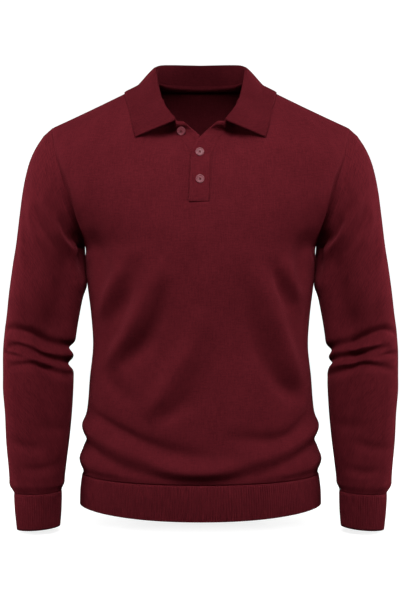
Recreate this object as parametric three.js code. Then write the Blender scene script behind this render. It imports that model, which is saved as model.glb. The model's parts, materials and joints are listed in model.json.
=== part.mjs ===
// A long-sleeved knitted polo sweater, filled out as it is when worn, with nobody in it.
// Millimetres, +Z up, the front faces -Y, and the wearer's left is +X.
// The origin lies midway between the two high shoulder points, where the neck seam meets the shoulder
// seams: there the garment hangs on its wearer's shoulders.
//
// Each cut piece is a sheet: points on its outer face, joined in quads. Sheets that are sewn together
// share their seam points, so their normals agree there. Each sheet is then drawn in a little from its
// edges, which leaves the seam gap, and gets its thickness inwards.
import * as THREE from "three";

// ---- Driving sizes ----
const WALL = 2; // plain knit, as worn
const SEAM_GAP = 0.3; // between two sewn pieces
const SHOULDER = { neckX: 78, tipX: 240, tipZ: -78, crown: 12, dip: 1.5, roundHeight: 85 };
const ARMPIT = { x: 187, z: -268 };
const ARMHOLE_BOW = 2; // how far the armhole seam bows outwards from its chord
const BODY_ROUNDNESS = { across: 2.4, deep: 2 };
const NECK = { frontDrop: 90, frontFloor: 79.5, backDrop: 4 };
const BAND = { sideTop: -635, sideEnd: -683, wall: 2.4, ribs: 300, ribHeight: 0.9 };
const BAND_SAG = { frontTop: 3, backTop: 1.5, frontEnd: 9, backEnd: 3 };
const CUFF = { wall: 2.2, ribs: 64, ribHeight: 0.8 };
const PLACKET = {
  foot: -207,
  half: 15,
  overlap: 0.6, // how far each strip passes the centre line
  bend: -134, // above here the slot widens with the open neck
  topX: 50,
  bendCurve: 1.1,
  kink: -131, // above here the free edges part
  spread: 26.5,
  spreadCurve: 1.5,
  lean: 0.038,
  centre: 1,
  wall: 2,
  upperOut: [0.5, 2.8], // how far the upper strip stands out at its seam and at its free edge
  underOut: [-0.4, -2.6],
  columns: 4,
  start: 0.016, // share of its width by which a strip stands clear of the slot's edge
};
const BUTTON = {
  radius: 6.6,
  thick: 2.4,
  sides: 24,
  holeRadius: 0.8,
  holeSides: 6,
  holeSpacing: 2.5,
  lift: 0.45, // clear of the strip it lies on
};
const TAPE = { columns: 16, up: 4, middle: -1.5, down: 5, sideDown: 4, lowerOff: 7.5, wall: 1.2 };
const COLLAR = {
  wall: 2,
  endX: 36.2, // its front ends, on the neck seam
  centreY: 12, // the middle of the neck, from which it stands outwards
  standCurve: 1.3,
  standRise: 0.5, // share of the stand's height that stays upright
  leafCurve: 1.4,
  leafFall: 0.45, // share of the way back to the fold from which the leaf falls to its edge
  hollow: 8,
  lift: 0.8, // clearance over the body, and at the front ends
  frontLift: 3.2,
  frontShare: 0.75,
};

// ---- How finely each piece is divided ----
const GRID = { columns: 12, neckColumn: 5, rollRows: 10, waistRows: 7, armRows: 10, stand: 3, leaf: 6 };
const ROLL_TOP = -520; // closer rows lie below this height, where the cloth rolls over the band
const ROLL_START = 14; // height over the band's seam in which the rolls grow from nothing
const FOLD_END = 12; // the higher, the nearer to the side seams the folds run
const FAN = 3; // the higher, the nearer to the shoulder the panel's columns fan out to the neck
const NECK_CROWDING = 1.7; // how much closer the neck's columns are where the seam turns over the shoulder
const NECK_LEVEL = 6; // the higher, the longer the back of the neck runs level

// Turns rows of numbers into rows with named columns.
const table = (names, values) => values.map((v) => Object.fromEntries(names.map((name, i) => [name, v[i]])));

// The body's form: half width, and depth of front and back from the side seams' plane, at each height.
const FORM = table(["z", "half", "front", "back"], [
  [-700, 195, 125, 116],
  [-660, 192.5, 123, 114],
  [-631, 190, 121, 112],
  [-600, 190, 122, 113],
  [-560, 187.5, 119.5, 110],
  [-520, 182.5, 116, 105],
  [-480, 179.5, 112.5, 99],
  [-430, 174.5, 109, 92],
  [-380, 177.5, 112.5, 92.5],
  [-330, 183.5, 119.5, 99.5],
  [-290, 186.5, 123.5, 106],
  [-268, 187, 124.5, 109],
  [-240, 209, 124.5, 112.5],
  [-210, 235, 122, 115],
  [-180, 256, 117.5, 115],
  [-150, 268, 111.5, 113],
  [-115, 275, 101.5, 108],
  [-78, 279, 86, 100],
  [-40, 281, 70, 88],
  [0, 282, 56, 73],
  [40, 282, 45, 58],
]);

// Rolls that run right round the body. Height and fullness at centre front, side seam and centre back.
const ROLLS = table(["frontZ", "sideZ", "backZ", "front", "side", "back", "reach"], [
  [-629, -579, -612, -6, -5, -6, 8], // the tuck over the band
  [-611, -556, -590, 5, 5, 5, 12], // the roll above it
  [-641, -611, -637, 1, 6.2, 1.5, 13], // the roll that hangs over the band at the sides
]);

// Single folds: each runs from one end to the other, bowed to its left, and is a ridge or, below 0, a trough.
const FOLD_COLUMNS = ["fromA", "fromB", "toA", "toB", "bow", "height", "reach"];
const FRONT_FOLDS = table(FOLD_COLUMNS, [
  [-186, -530, 22, -596, -9, -7, 8], // long tuck, wearer's right
  [186, -526, 50, -568, 14, -5, 10], // short tuck, wearer's left
  [-72, -296, -140, -446, -8, 5, 12], // ridges that drop from the armpits
  [-128, -300, -156, -376, -4, 4, 9],
  [88, -296, 156, -486, 4, 5, 12],
  [132, -300, 154, -362, 3, 4, 9],
  [-14, -392, -106, -540, 8, 4.5, 15], // ridge from the waist to the long tuck
  [-104, -292, -152, -420, -6, -4, 13], // hollows beside the ridges
  [112, -298, 142, -390, 3, -4, 11],
  [118, -400, 140, -520, 4, -4, 14],
  [-152, -466, -92, -512, 6, -4.5, 9],
  [-22, -500, -78, -556, 6, -4, 13],
  [-226, -128, -186, -272, 14, -8, 9], // creases beside the armholes
  [226, -128, 186, -272, -14, -8, 9],
]);
const BACK_FOLDS = table(FOLD_COLUMNS, [
  [-180, -528, 40, -572, -8, -6, 9],
  [184, -520, 70, -560, 12, -4.5, 10],
  [-118, -262, -60, -420, 6, 4.5, 14],
  [112, -258, 52, -436, -8, 4.5, 14],
  [-86, -300, -20, -452, 6, -3.5, 14],
  [88, -320, 26, -470, -6, -3.5, 14],
  [-60, -430, 66, -452, -12, -4, 12],
  [-222, -128, -186, -272, 12, -8, 10],
  [222, -128, 186, -272, -12, -8, 10],
]);

// The sleeve's sections after the armhole: its inner and outer edge, and its reach forwards and back.
const SLEEVE = table(["innerX", "innerZ", "outerX", "outerZ", "front", "back"], [
  [187.4, -270, 253, -91, -65, 66],
  [187.9, -273, 265, -109, -67, 68],
  [188.3, -277, 275, -130, -68, 70],
  [188.7, -282, 282, -154, -68, 70.5],
  [189.2, -289, 287.5, -182, -67, 70],
  [189.7, -299, 292, -215, -65, 69],
  [190.2, -313, 297, -255, -62, 67.5],
  [190.6, -332, 302.5, -300, -60, 66],
  [192.5, -353, 307.5, -340, -59, 64],
  [196, -380, 311, -373, -58.5, 61.5],
  [198.3, -393, 313, -389, -59, 60],
  [200, -404, 314.5, -400, -59.5, 59],
  [201.4, -414, 315.3, -410, -60, 58],
  [202.4, -424, 315.8, -419, -60.5, 57],
  [203.2, -433, 316.2, -428, -61, 56],
  [203.9, -442, 316.5, -437, -61.5, 55],
  [204.2, -451, 316.5, -446, -62, 54],
  [204.5, -460, 316.4, -455, -62.5, 53],
  [204.6, -470, 316.2, -465, -63, 52],
  [204.8, -482, 316, -478, -63.5, 50.5],
  [205.4, -505, 315.6, -502, -64.5, 47.5],
  [207.2, -540, 312, -538, -66, 42],
  [210.5, -578, 310, -577, -67, 35],
  [214.4, -612, 307.4, -612, -68, 28],
  [217, -638, 305.4, -639, -69, 21],
  [217.6, -648, 304.4, -650, -69.5, 17],
  [220.6, -655, 299.4, -658, -67.5, 10],
  [221.8, -659, 296.6, -662, -66.5, 7],
]);
// Folds of each sleeve. A is the distance round from the outer edge, forwards, and B is the height.
const SLEEVE_FOLDS = {
  right: table(FOLD_COLUMNS, [
    [16, -404, 176, -431, 4, -6, 6.5], // creases at the bend of the arm
    [78, -411, 180, -436, -5, -5.5, 6],
    [40, -412, 86, -425, 2, -3, 4],
    [30, -430, 180, -457, 6, -6, 6],
    [14, -441, 86, -449, 1, -3, 4],
    [44, -460, 160, -476, 6, -5, 6.5],
    [84, -427, 142, -440, -2, 3.5, 5], // ridges between them
    [78, -446, 140, -461, 1, 3.5, 5],
    [-166, -440, -20, -402, 8, -6, 7], // the same on the back of the arm
    [-160, -466, -24, -436, 8, -5.5, 7],
    [-150, -418, -56, -398, 6, -3.5, 6],
    [66, -120, 150, -240, -10, -3.5, 9], // drag lines from the armpit
    [44, -140, 130, -262, -12, -3.5, 9],
    [-60, -128, -128, -242, 10, -3.5, 10],
    [24, -580, 120, -588, 4, -2.5, 7], // slack above the cuff
    [60, -618, 160, -610, -4, -2.5, 7],
  ]),
  left: table(FOLD_COLUMNS, [
    [20, -408, 148, -428, 6, -6, 6.5],
    [60, -418, 92, -426, 1, -3, 4],
    [50, -432, 165, -450, -1, -7, 7],
    [18, -441, 92, -450, 1, -3.5, 4],
    [40, -466, 162, -471, 8, -5, 6.5],
    [96, -432, 144, -431, -3, 3.5, 5],
    [62, -454, 160, -457, 2, 3.5, 5],
    [-170, -436, -24, -406, 8, -6, 7],
    [-164, -462, -20, -440, 8, -5.5, 7],
    [-140, -420, -50, -396, 6, -3.5, 6],
    [60, -116, 146, -238, -10, -3.5, 9],
    [42, -148, 128, -266, -12, -3, 9],
    [-64, -124, -130, -244, 10, -3.5, 10],
    [30, -592, 130, -580, -4, -2.5, 7],
    [50, -622, 150, -618, 4, -2.5, 7],
  ]),
};
// The cuff, from its seam with the sleeve to its end.
const CUFF_RINGS = table(["innerX", "innerZ", "outerX", "outerZ", "front", "back"], [
  [221.9, -659.5, 296.4, -662.5, -66.3, 6.8],
  [223.6, -714, 290.5, -719, -70, -5],
]);

// Where each button lies: on the upper strip, 1, or the under strip, -1, its share of the way to the free
// edge, and its share of the strip's height.
const BUTTONS = table(["side", "share", "height"], [
  [-1, 0.36, 0.875],
  [1, 0.62, 0.607],
  [1, 0.5, 0.273],
]);

// The collar by its share of the neck seam from centre back, 0, to its front end, 1: the line where it
// folds over, the line of its free edge, and how wide it rolls at the fold.
const COLLAR_LINES = table(["share", "foldX", "foldY", "foldZ", "edgeX", "edgeY", "edgeZ", "roll"], [
  [0, 0, 62.5, 36, 0, 77, -16, 6],
  [0.1, 24, 60, 36, 28, 73, -16.5, 6],
  [0.2, 46, 53, 35, 56, 64, -17.5, 6],
  [0.3, 65, 40, 32, 85, 49, -18.5, 6],
  [0.38, 73, 25, 26.5, 106, 30, -20, 6],
  [0.46, 74.5, 7, 21, 118.5, 4, -24, 6],
  [0.53, 73.5, -10, 16.5, 119, -18, -31, 6],
  [0.6, 71.5, -26, 9, 117.5, -34, -39, 5.5],
  [0.7, 68.5, -44, -9, 114.5, -53, -50, 5],
  [0.8, 64, -60, -29.5, 110.5, -69, -64, 4.5],
  [0.9, 56, -74.5, -53, 106, -85, -84, 4],
  [1, 37, -87, -76, 101, -95.5, -103, 3.6],
]);

// ---- Working out ----
const clamp01 = (t) => Math.min(1, Math.max(0, t));
const mix = (a, b, t) => a + (b - a) * t;
const ease = (t) => clamp01(t) ** 2 * (3 - 2 * clamp01(t));

// A column of a table at any value of its key column, on a smooth curve through the rows.
function at(rows, key, column, q) {
  const last = rows.length - 1;
  const above = rows.findIndex((r) => r[key] > q);
  const i = Math.min(last - 1, Math.max(0, (above < 0 ? last : above) - 1));
  const [p, a, b, n] = [Math.max(i - 1, 0), i, i + 1, Math.min(i + 2, last)].map((r) => rows[r]);
  const h = b[key] - a[key];
  const t = clamp01((q - a[key]) / h);
  const slope = (from, to) => (to[column] - from[column]) / (to[key] - from[key]);
  const [m0, m1] = [slope(p, b) * h, slope(a, n) * h];
  const [t2, t3] = [t * t, t ** 3];
  const near = (2 * t3 - 3 * t2 + 1) * a[column] + (t3 - 2 * t2 + t) * m0;
  return near + (3 * t2 - 2 * t3) * b[column] + (t3 - t2) * m1;
}

// How far the folds of a table raise the cloth at a place.
function raised(folds, a, b) {
  let height = 0;
  for (const f of folds) {
    const [da, db] = [f.toA - f.fromA, f.toB - f.fromB];
    const length = Math.hypot(da, db);
    const t = ((a - f.fromA) * da + (b - f.fromB) * db) / length ** 2;
    if (t <= 0 || t >= 1) continue;
    const off = ((b - f.fromB) * da - (a - f.fromA) * db) / length - f.bow * 4 * t * (1 - t);
    height += f.height * ease(4 * t) * ease(4 * (1 - t)) * Math.exp(-((off / f.reach) ** 2));
  }
  return height;
}

// The line of the shoulder seam, carried on over the neck opening.
const RIDGE_SLOPE = -SHOULDER.tipZ
  / (Math.hypot(SHOULDER.tipX, SHOULDER.crown) - Math.hypot(SHOULDER.neckX, SHOULDER.crown));
function ridge(x) {
  const t = clamp01((Math.abs(x) - SHOULDER.neckX) / (SHOULDER.tipX - SHOULDER.neckX));
  const straight = RIDGE_SLOPE * (Math.hypot(SHOULDER.neckX, SHOULDER.crown) - Math.hypot(x, SHOULDER.crown));
  return straight - SHOULDER.dip * 4 * t * (1 - t);
}

// The body form's depth at a place seen from the front or the back.
function depth(face, x, z) {
  const across = clamp01(Math.abs(x) / at(FORM, "z", "half", z));
  const round = clamp01(1 - (ridge(x) - z) / SHOULDER.roundHeight);
  return at(FORM, "z", face, z)
    * (1 - across ** BODY_ROUNDNESS.across) ** (1 / BODY_ROUNDNESS.deep)
    * Math.sqrt(1 - round * round);
}

// How far the rolls round the body raise the cloth.
function rolled(face, x, z) {
  const side = (x / at(FORM, "z", "half", z)) ** 2;
  const seam = BAND.sideTop - BAND_SAG[`${face}Top`] * (1 - side);
  return ease((z - seam) / ROLL_START) * ROLLS.reduce((sum, r) => {
    const off = z - mix(r[`${face}Z`], r.sideZ, side);
    return sum + mix(r[face], r.side, side) * Math.exp(-((off / r.reach) ** 2));
  }, 0);
}

// A point on the outer face of the front or the back, seen at x and z, and moved out by more if asked.
function onBody(face, x, z, out = 0) {
  const sign = face === "front" ? -1 : 1;
  const y = depth(face, x, z);
  const outward = new THREE.Vector3(
    x / at(FORM, "z", "half", z) ** 2,
    (sign * y) / at(FORM, "z", face, z) ** 2,
    0,
  ).normalize();
  const folds = raised(face === "front" ? FRONT_FOLDS : BACK_FOLDS, x, z);
  const moved = rolled(face, x, z) + folds * (1 - (x / edgeX(z)) ** FOLD_END) + out;
  return new THREE.Vector3(x, sign * y, z).addScaledVector(outward, moved);
}

// The armhole's width at a height, and the side seam's below the armpit.
const ARM = { midZ: (SHOULDER.tipZ + ARMPIT.z) / 2, halfZ: (SHOULDER.tipZ - ARMPIT.z) / 2 };
function edgeX(z) {
  if (z <= ARMPIT.z) return at(FORM, "z", "half", z);
  const c = Math.min(1, (z - ARM.midZ) / ARM.halfZ);
  return mix(ARMPIT.x, SHOULDER.tipX, (1 + c) / 2) + ARMHOLE_BOW * (1 - c * c);
}

// Rows as a share of each column's height: close over the band, wide at the waist, by angle up the armhole.
const ROWS = (() => {
  const share = (z) => (z - BAND.sideTop) / (SHOULDER.tipZ - BAND.sideTop);
  const shares = [];
  for (let i = 0; i < GRID.rollRows; i++) shares.push(share(mix(BAND.sideTop, ROLL_TOP, i / GRID.rollRows)));
  for (let i = 0; i < GRID.waistRows; i++) shares.push(share(mix(ROLL_TOP, ARMPIT.z, i / GRID.waistRows)));
  for (let i = 0; i <= GRID.armRows; i++) {
    shares.push(share(ARM.midZ - ARM.halfZ * Math.cos((Math.PI * i) / GRID.armRows)));
  }
  return shares;
})();
const ARMPIT_ROW = GRID.rollRows + GRID.waistRows;
const FOOT_ROW = ARMPIT_ROW + 3; // the row along the placket's foot
const bandTop = (face, x) => BAND.sideTop
  - BAND_SAG[`${face}Top`] * (1 - Math.min(1, (x / at(FORM, "z", "half", BAND.sideTop)) ** 2));

// The neck seam: seen from the front a half ellipse, level at its foot, and nearly level at the back.
// Angle 0 is the shoulder, and 90 degrees the centre.
function neckline(face, angle) {
  const x = SHOULDER.neckX * Math.cos(angle);
  if (face === "front") return [x, -Math.min(NECK.frontDrop * Math.sin(angle), NECK.frontFloor)];
  return [x, -NECK.backDrop * (1 - Math.cos(angle) ** NECK_LEVEL)];
}

// Neck columns by their share of the way from the centre to the shoulder, crowded where the seam turns.
function neckAngle(face, share) {
  return face === "front" ? slotAngle * (1 - share) ** NECK_CROWDING : (Math.PI / 2) * (1 - share);
}

// Where the placket is sewn to the front: upright, then spreading with the open neck.
const slotAngle = Math.acos(PLACKET.topX / SHOULDER.neckX);
const slotTopZ = neckline("front", slotAngle)[1];
function slotEdge(z) {
  const t = clamp01((z - PLACKET.bend) / (slotTopZ - PLACKET.bend));
  return PLACKET.half + (PLACKET.topX - PLACKET.half) * t ** PLACKET.bendCurve;
}
// The front's inner columns shift their rows, so that one runs along the placket's foot.
const frontBase = bandTop("front", 0);
const footShare = (PLACKET.foot - frontBase) / (slotTopZ - frontBase);
function footRows(share) {
  const foot = ROWS[FOOT_ROW];
  return share < foot ? (share * footShare) / foot : 1 - ((1 - share) * (1 - footShare)) / (1 - foot);
}
// The placket leans a little, and is centred again at the neck.
function placketCentre(z) {
  const below = Math.min(PLACKET.kink, Math.max(PLACKET.foot, z)) - PLACKET.kink;
  const leaning = PLACKET.centre + PLACKET.lean * below;
  return leaning * (1 - ease((z - PLACKET.kink) / (slotTopZ - PLACKET.kink)));
}

// The place, seen from the front or back, of a panel's grid point. Side is 1 for the wearer's left.
function panelPlace(face, side, column, row) {
  const { columns, neckColumn } = GRID;
  const front = face === "front";
  const first = front ? 1 : 0;
  const u = clamp01((column - first) / (columns - first));
  const startX = front ? PLACKET.topX : 0;
  let topX = startX;
  let topZ = front ? slotTopZ : -NECK.backDrop;
  if (column > neckColumn) {
    topX = mix(SHOULDER.neckX, SHOULDER.tipX, (column - neckColumn) / (columns - neckColumn));
    topZ = ridge(topX);
  } else if (column > first) {
    [topX, topZ] = neckline(face, neckAngle(face, (column - first) / (neckColumn - first)));
  }
  const low = Math.sin((Math.PI / 2) * u);
  const high = (topX - startX) / (SHOULDER.tipX - startX);
  const spread = mix(low, high, clamp01(ROWS[row] * 2 - 1) ** FAN);
  const baseZ = bandTop(face, mix(front ? PLACKET.half : 0, edgeX(BAND.sideTop), low));
  if (!front) {
    const z = mix(baseZ, topZ, ROWS[row]);
    return [side * edgeX(z) * spread, z];
  }
  const z = mix(baseZ, topZ, mix(footRows(ROWS[row]), ROWS[row], high));
  const innerZ = mix(frontBase, slotTopZ, footRows(ROWS[row]));
  const centre = placketCentre(innerZ) * (1 - spread);
  return [column < first ? centre : side * mix(slotEdge(innerZ), edgeX(z), spread) + centre, z];
}

// ---- Sheets ----
// A grid of quads. pointAt gives the point of a column and row. Keep may leave quads out.
function gridSheet(columns, rows, pointAt, { flip = false, closed = false, keep = () => true } = {}) {
  const points = [];
  const across = closed ? columns : columns + 1;
  for (let j = 0; j <= rows; j++) for (let k = 0; k < across; k++) points.push(pointAt(k, j));
  const quads = [];
  for (let j = 0; j < rows; j++) {
    for (let k = 0; k < columns; k++) {
      if (!keep(k, j)) continue;
      const next = (k + 1) % across;
      const quad = [j * across + k, j * across + next, (j + 1) * across + next, (j + 1) * across + k];
      quads.push(flip ? quad.reverse() : quad);
    }
  }
  return { points, quads };
}

// Joins sheets into one, with one point where theirs coincide.
const placeKey = (p) => [p.x, p.y, p.z].map((c) => Math.round(c * 1e3) || 0).join();
function weld(...sheets) {
  const points = [];
  const found = new Map();
  const quads = sheets.flatMap((sheet) => sheet.quads.map((quad) => quad.map((i) => {
    const key = placeKey(sheet.points[i]);
    if (!found.has(key)) found.set(key, points.push(sheet.points[i]) - 1);
    return found.get(key);
  })));
  return { points, quads };
}

// The outward normal at each place of some sheets that are sewn together.
function normalsOf(...sheets) {
  const normals = new Map();
  for (const { points, quads } of sheets) {
    for (const quad of quads) {
      const [a, b, c, d] = quad.map((i) => points[i]);
      const n = new THREE.Vector3().crossVectors(c.clone().sub(a), d.clone().sub(b));
      for (const p of [a, b, c, d]) {
        const key = placeKey(p);
        normals.set(key, (normals.get(key) ?? new THREE.Vector3()).add(n));
      }
    }
  }
  normals.forEach((n) => n.normalize());
  return normals;
}

function geometryOf(points, triangles) {
  const geometry = new THREE.BufferGeometry();
  const places = points.flatMap((p) => [p.x, p.y, p.z]);
  geometry.setAttribute("position", new THREE.Float32BufferAttribute(places, 3));
  geometry.setIndex(triangles.flat());
  return geometry;
}
const split = ([a, b, c, d]) => [[a, b, c], [a, c, d]];

// Gives a sheet its thickness, inwards from its outer face, after drawing it in from its edges.
function thicken(sheet, wall, normals = normalsOf(sheet), inset = SEAM_GAP / 2) {
  const used = [...new Set(sheet.quads.flat())];
  const renumber = new Map(used.map((i, n) => [i, n]));
  const points = used.map((i) => sheet.points[i].clone());
  const outward = points.map((p) => normals.get(placeKey(p)));
  const quads = sheet.quads.map((quad) => quad.map((i) => renumber.get(i)));
  const edges = new Map();
  for (const quad of quads) {
    quad.forEach((a, i) => {
      const b = quad[(i + 1) % 4];
      if (!edges.delete(`${b},${a}`)) edges.set(`${a},${b}`, [a, b]);
    });
  }
  const drawn = new Map();
  for (const [a, b] of edges.values()) {
    const along = points[b].clone().sub(points[a]).normalize();
    for (const i of [a, b]) {
      const inwards = new THREE.Vector3().crossVectors(outward[i], along);
      drawn.set(i, (drawn.get(i) ?? new THREE.Vector3()).add(inwards));
    }
  }
  drawn.forEach((move, i) => points[i].addScaledVector(move.normalize(), inset));
  const inner = points.map((p, i) => p.clone().addScaledVector(outward[i], -wall));
  const count = points.length;
  const triangles = quads.flatMap((q) => [...split(q), ...split([...q].reverse().map((i) => i + count))]);
  // Two walls that face each other across a seam are split along the same diagonal.
  for (const [a, b] of edges.values()) {
    const [a2, b2] = [a + count, b + count];
    triangles.push(...split(points[a].z < points[b].z ? [b, a, a2, b2] : [a, a2, b2, b]));
  }
  return geometryOf([...points, ...inner], triangles);
}

// A ribbed tube between two rings: ribs stand out on its outer face over a plain inside.
function ribbedTube(ringAt, ribs, ribHeight, wall) {
  const fine = ribs * 2;
  const coarse = ribs / 2;
  const points = [];
  for (const end of [0, 1]) {
    for (let k = 0; k < fine; k++) {
      points.push(ringAt(end, (2 * Math.PI * k) / fine, k % 2 ? 0 : ribHeight));
    }
  }
  for (const end of [0, 1]) {
    for (let k = 0; k < coarse; k++) points.push(ringAt(end, (2 * Math.PI * k) / coarse, -wall));
  }
  const outer = (end, k) => end * fine + (k % fine);
  const inner = (end, k) => 2 * fine + end * coarse + (k % coarse);
  const triangles = [];
  for (let k = 0; k < fine; k++) {
    triangles.push(...split([outer(0, k), outer(1, k), outer(1, k + 1), outer(0, k + 1)]));
  }
  const step = fine / coarse;
  for (let k = 0; k < coarse; k++) {
    triangles.push(...split([inner(0, k + 1), inner(1, k + 1), inner(1, k), inner(0, k)]));
    const first = k * step;
    const middle = first + step / 2;
    for (let i = first; i < first + step; i++) {
      const nearest = i < middle ? k : k + 1;
      triangles.push([outer(0, i), outer(0, i + 1), inner(0, nearest)]);
      triangles.push([outer(1, i + 1), outer(1, i), inner(1, nearest)]);
    }
    triangles.push([inner(0, k), outer(0, middle), inner(0, k + 1)]);
    triangles.push([outer(1, middle), inner(1, k), inner(1, k + 1)]);
  }
  return geometryOf(points, triangles);
}

// ---- Front and back ----
const ROW_COUNT = ROWS.length - 1;
function panel(face, side) {
  const flip = (side > 0) === (face === "back");
  const pointAt = (k, j) => {
    const [x, z] = panelPlace(face, side, k, j);
    return onBody(face, x, z);
  };
  const keep = (k, j) => face === "back" || k > 0 || j < FOOT_ROW;
  return gridSheet(GRID.columns, ROW_COUNT, pointAt, { flip, keep });
}
const frontSheet = weld(panel("front", 1), panel("front", -1));
const backSheet = weld(panel("back", 1), panel("back", -1));

// ---- Sleeves ----
// A point on a sleeve section. The angle runs from the outer edge, 0, forwards to the inner, 180 degrees.
function sectionPoint(s, angle, out = 0) {
  const [c, f] = [Math.cos(angle), Math.sin(angle)];
  const middle = (s.front + s.back) / 2;
  const reach = f > 0 ? middle - s.front : s.back - middle;
  const [dx, dz] = [(s.outerX - s.innerX) / 2, (s.outerZ - s.innerZ) / 2];
  const stretch = 1 + out / Math.hypot(dx, dz);
  return new THREE.Vector3(
    (s.outerX + s.innerX) / 2 + c * dx * stretch,
    middle - f * (reach + out),
    (s.outerZ + s.innerZ) / 2 + c * dz * stretch,
  );
}
const ROUND = GRID.armRows * 2;
const SETTLED_ROW = 6; // from this row on the sleeve has its own sections, clear of the armhole's shape
const ARMHOLE_PULL = 0.35; // how far the first section has left the armhole's shape
function armholePoint(side, k) {
  const [face, row] = k <= GRID.armRows ? ["front", ROW_COUNT - k] : ["back", ARMPIT_ROW + k - GRID.armRows];
  return onBody(face, ...panelPlace(face, side, GRID.columns, row));
}
const sleeveSheet = (side, folds) => gridSheet(ROUND, SLEEVE.length, (k, j) => {
  const start = armholePoint(side, k);
  if (j === 0) return start;
  const angle = (2 * Math.PI * k) / ROUND;
  const s = SLEEVE[j - 1];
  const radius = (Math.hypot(s.outerX - s.innerX, s.outerZ - s.innerZ) + s.back - s.front) / 4;
  const round = (k > GRID.armRows ? angle - 2 * Math.PI : angle) * radius;
  const p = sectionPoint(s, angle, raised(folds, round, sectionPoint(s, angle).z));
  const settled = ease(j / SETTLED_ROW);
  p.x += ARMHOLE_BOW * Math.sin(angle) ** 2 * (1 - settled);
  p.y = mix(start.y, p.y, mix(ARMHOLE_PULL, 1, settled));
  return p.setX(side * p.x);
}, { closed: true, flip: side < 0 });
const sleeveLeftSheet = sleeveSheet(1, SLEEVE_FOLDS.left);
const sleeveRightSheet = sleeveSheet(-1, SLEEVE_FOLDS.right);

// ---- Band and cuffs ----
function bandPoint(end, angle, out) {
  const face = Math.cos(angle) > 0 ? "front" : "back";
  const [c, s] = [Math.cos(angle), Math.sin(angle)];
  const atSide = end ? BAND.sideEnd : BAND.sideTop - SEAM_GAP;
  const z = atSide - BAND_SAG[face + (end ? "End" : "Top")] * c * c;
  const [half, deep] = [at(FORM, "z", "half", z), at(FORM, "z", face, z)];
  const bulge = (1 - Math.abs(s) ** BODY_ROUNDNESS.across) ** (1 / BODY_ROUNDNESS.deep);
  const y = -Math.sign(c) * deep * bulge;
  const outward = new THREE.Vector3(s / half, y / deep ** 2, 0).normalize();
  return new THREE.Vector3(half * s, y, z).addScaledVector(outward, out);
}
const cuffPoint = (side) => (end, angle, out) => {
  const p = sectionPoint(CUFF_RINGS[end], -side * angle, out);
  return p.setX(side * p.x);
};

// ---- Placket ----
// A strip from the slot's edge to its free edge. It lies on the front, moved out by sewnOut at its seam
// and by freeOut at its free edge, where it spreads with the open neck.
const neckZ = (x) => neckline("front", Math.acos(x / SHOULDER.neckX))[1];
function freeEdge(z) {
  const t = clamp01((z - PLACKET.kink) / (-NECK.frontFloor - PLACKET.kink));
  const overlap = PLACKET.half + PLACKET.overlap;
  return (PLACKET.spread + overlap) * t ** PLACKET.spreadCurve - overlap;
}
function stripPoint(side, share, height) {
  const sewnZ = mix(PLACKET.foot, slotTopZ, height);
  const freeZ = mix(PLACKET.foot, -NECK.frontFloor, height);
  const z = mix(PLACKET.foot, neckZ(mix(PLACKET.topX, PLACKET.spread, share)), height);
  const x = side * mix(slotEdge(sewnZ), freeEdge(freeZ), share) + placketCentre(sewnZ);
  const [sewnOut, freeOut] = side > 0 ? PLACKET.upperOut : PLACKET.underOut;
  return onBody("front", x, z, mix(sewnOut, freeOut, share));
}
function placket(side) {
  const rowHeight = (row) => {
    const z = panelPlace("front", side, 1, FOOT_ROW + row)[1];
    return (z - PLACKET.foot) / (slotTopZ - PLACKET.foot);
  };
  const height = (j) => (rowHeight(Math.floor(j / 2)) + rowHeight(Math.ceil(j / 2))) / 2;
  const share = (k) => mix(PLACKET.start, 1, k / PLACKET.columns);
  const pointAt = (k, j) => stripPoint(side, share(k), height(j));
  return gridSheet(PLACKET.columns, (ROW_COUNT - FOOT_ROW) * 2, pointAt, { flip: side > 0 });
}
const upperSheet = placket(1);
const underSheet = placket(-1);

// ---- Collar ----
// The neck seam's points on the wearer's left, from centre back to the collar's front end, with the length
// run so far. Each panel's column and the middle between two give a point.
const neckSeam = (() => {
  const corners = [];
  for (let k = 0; k <= GRID.neckColumn; k++) {
    corners.push(onBody("back", ...panelPlace("back", 1, k, ROW_COUNT)));
  }
  for (let k = GRID.neckColumn - 1; k >= 1; k--) {
    corners.push(onBody("front", ...panelPlace("front", 1, k, ROW_COUNT)));
  }
  corners.push(onBody("front", COLLAR.endX, neckZ(COLLAR.endX)));
  const points = corners.flatMap((p, i) => (i ? [corners[i - 1].clone().lerp(p, 0.5), p] : [p]));
  let run = 0;
  return points.map((p, i) => ({ p, run: (run += i ? p.distanceTo(points[i - 1]) : 0) }));
})();
const neckLength = neckSeam.at(-1).run;

// Moves a point out from the body's form, in a few tries, until it is this far clear of it.
function clearOfBody(p, distance, tries = 6, step = 0.01) {
  const level = (q) => {
    const face = q.y < 0 ? "front" : "back";
    const across = clamp01(Math.abs(q.x) / at(FORM, "z", "half", q.z)) ** BODY_ROUNDNESS.across;
    const deep = at(FORM, "z", face, q.z) * Math.sqrt(1 - across);
    return Math.hypot(q.y / deep, Math.max(0, 1 - (ridge(q.x) - q.z) / SHOULDER.roundHeight));
  };
  const moved = p.clone();
  for (let i = 0; i < tries; i++) {
    const here = level(moved);
    const slope = new THREE.Vector3(...["x", "y", "z"].map((axis) => {
      const q = moved.clone();
      q[axis] += step;
      return (level(q) - here) / step;
    }));
    const clear = (here - 1) / slope.length();
    if (clear >= distance) break;
    moved.addScaledVector(slope.normalize(), distance - clear);
  }
  return moved;
}

function bezier(t, a, b, c, d) {
  const s = 1 - t;
  return a.clone().multiplyScalar(s ** 3).addScaledVector(b, 3 * s * s * t)
    .addScaledVector(c, 3 * s * t * t).addScaledVector(d, t ** 3);
}

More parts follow.
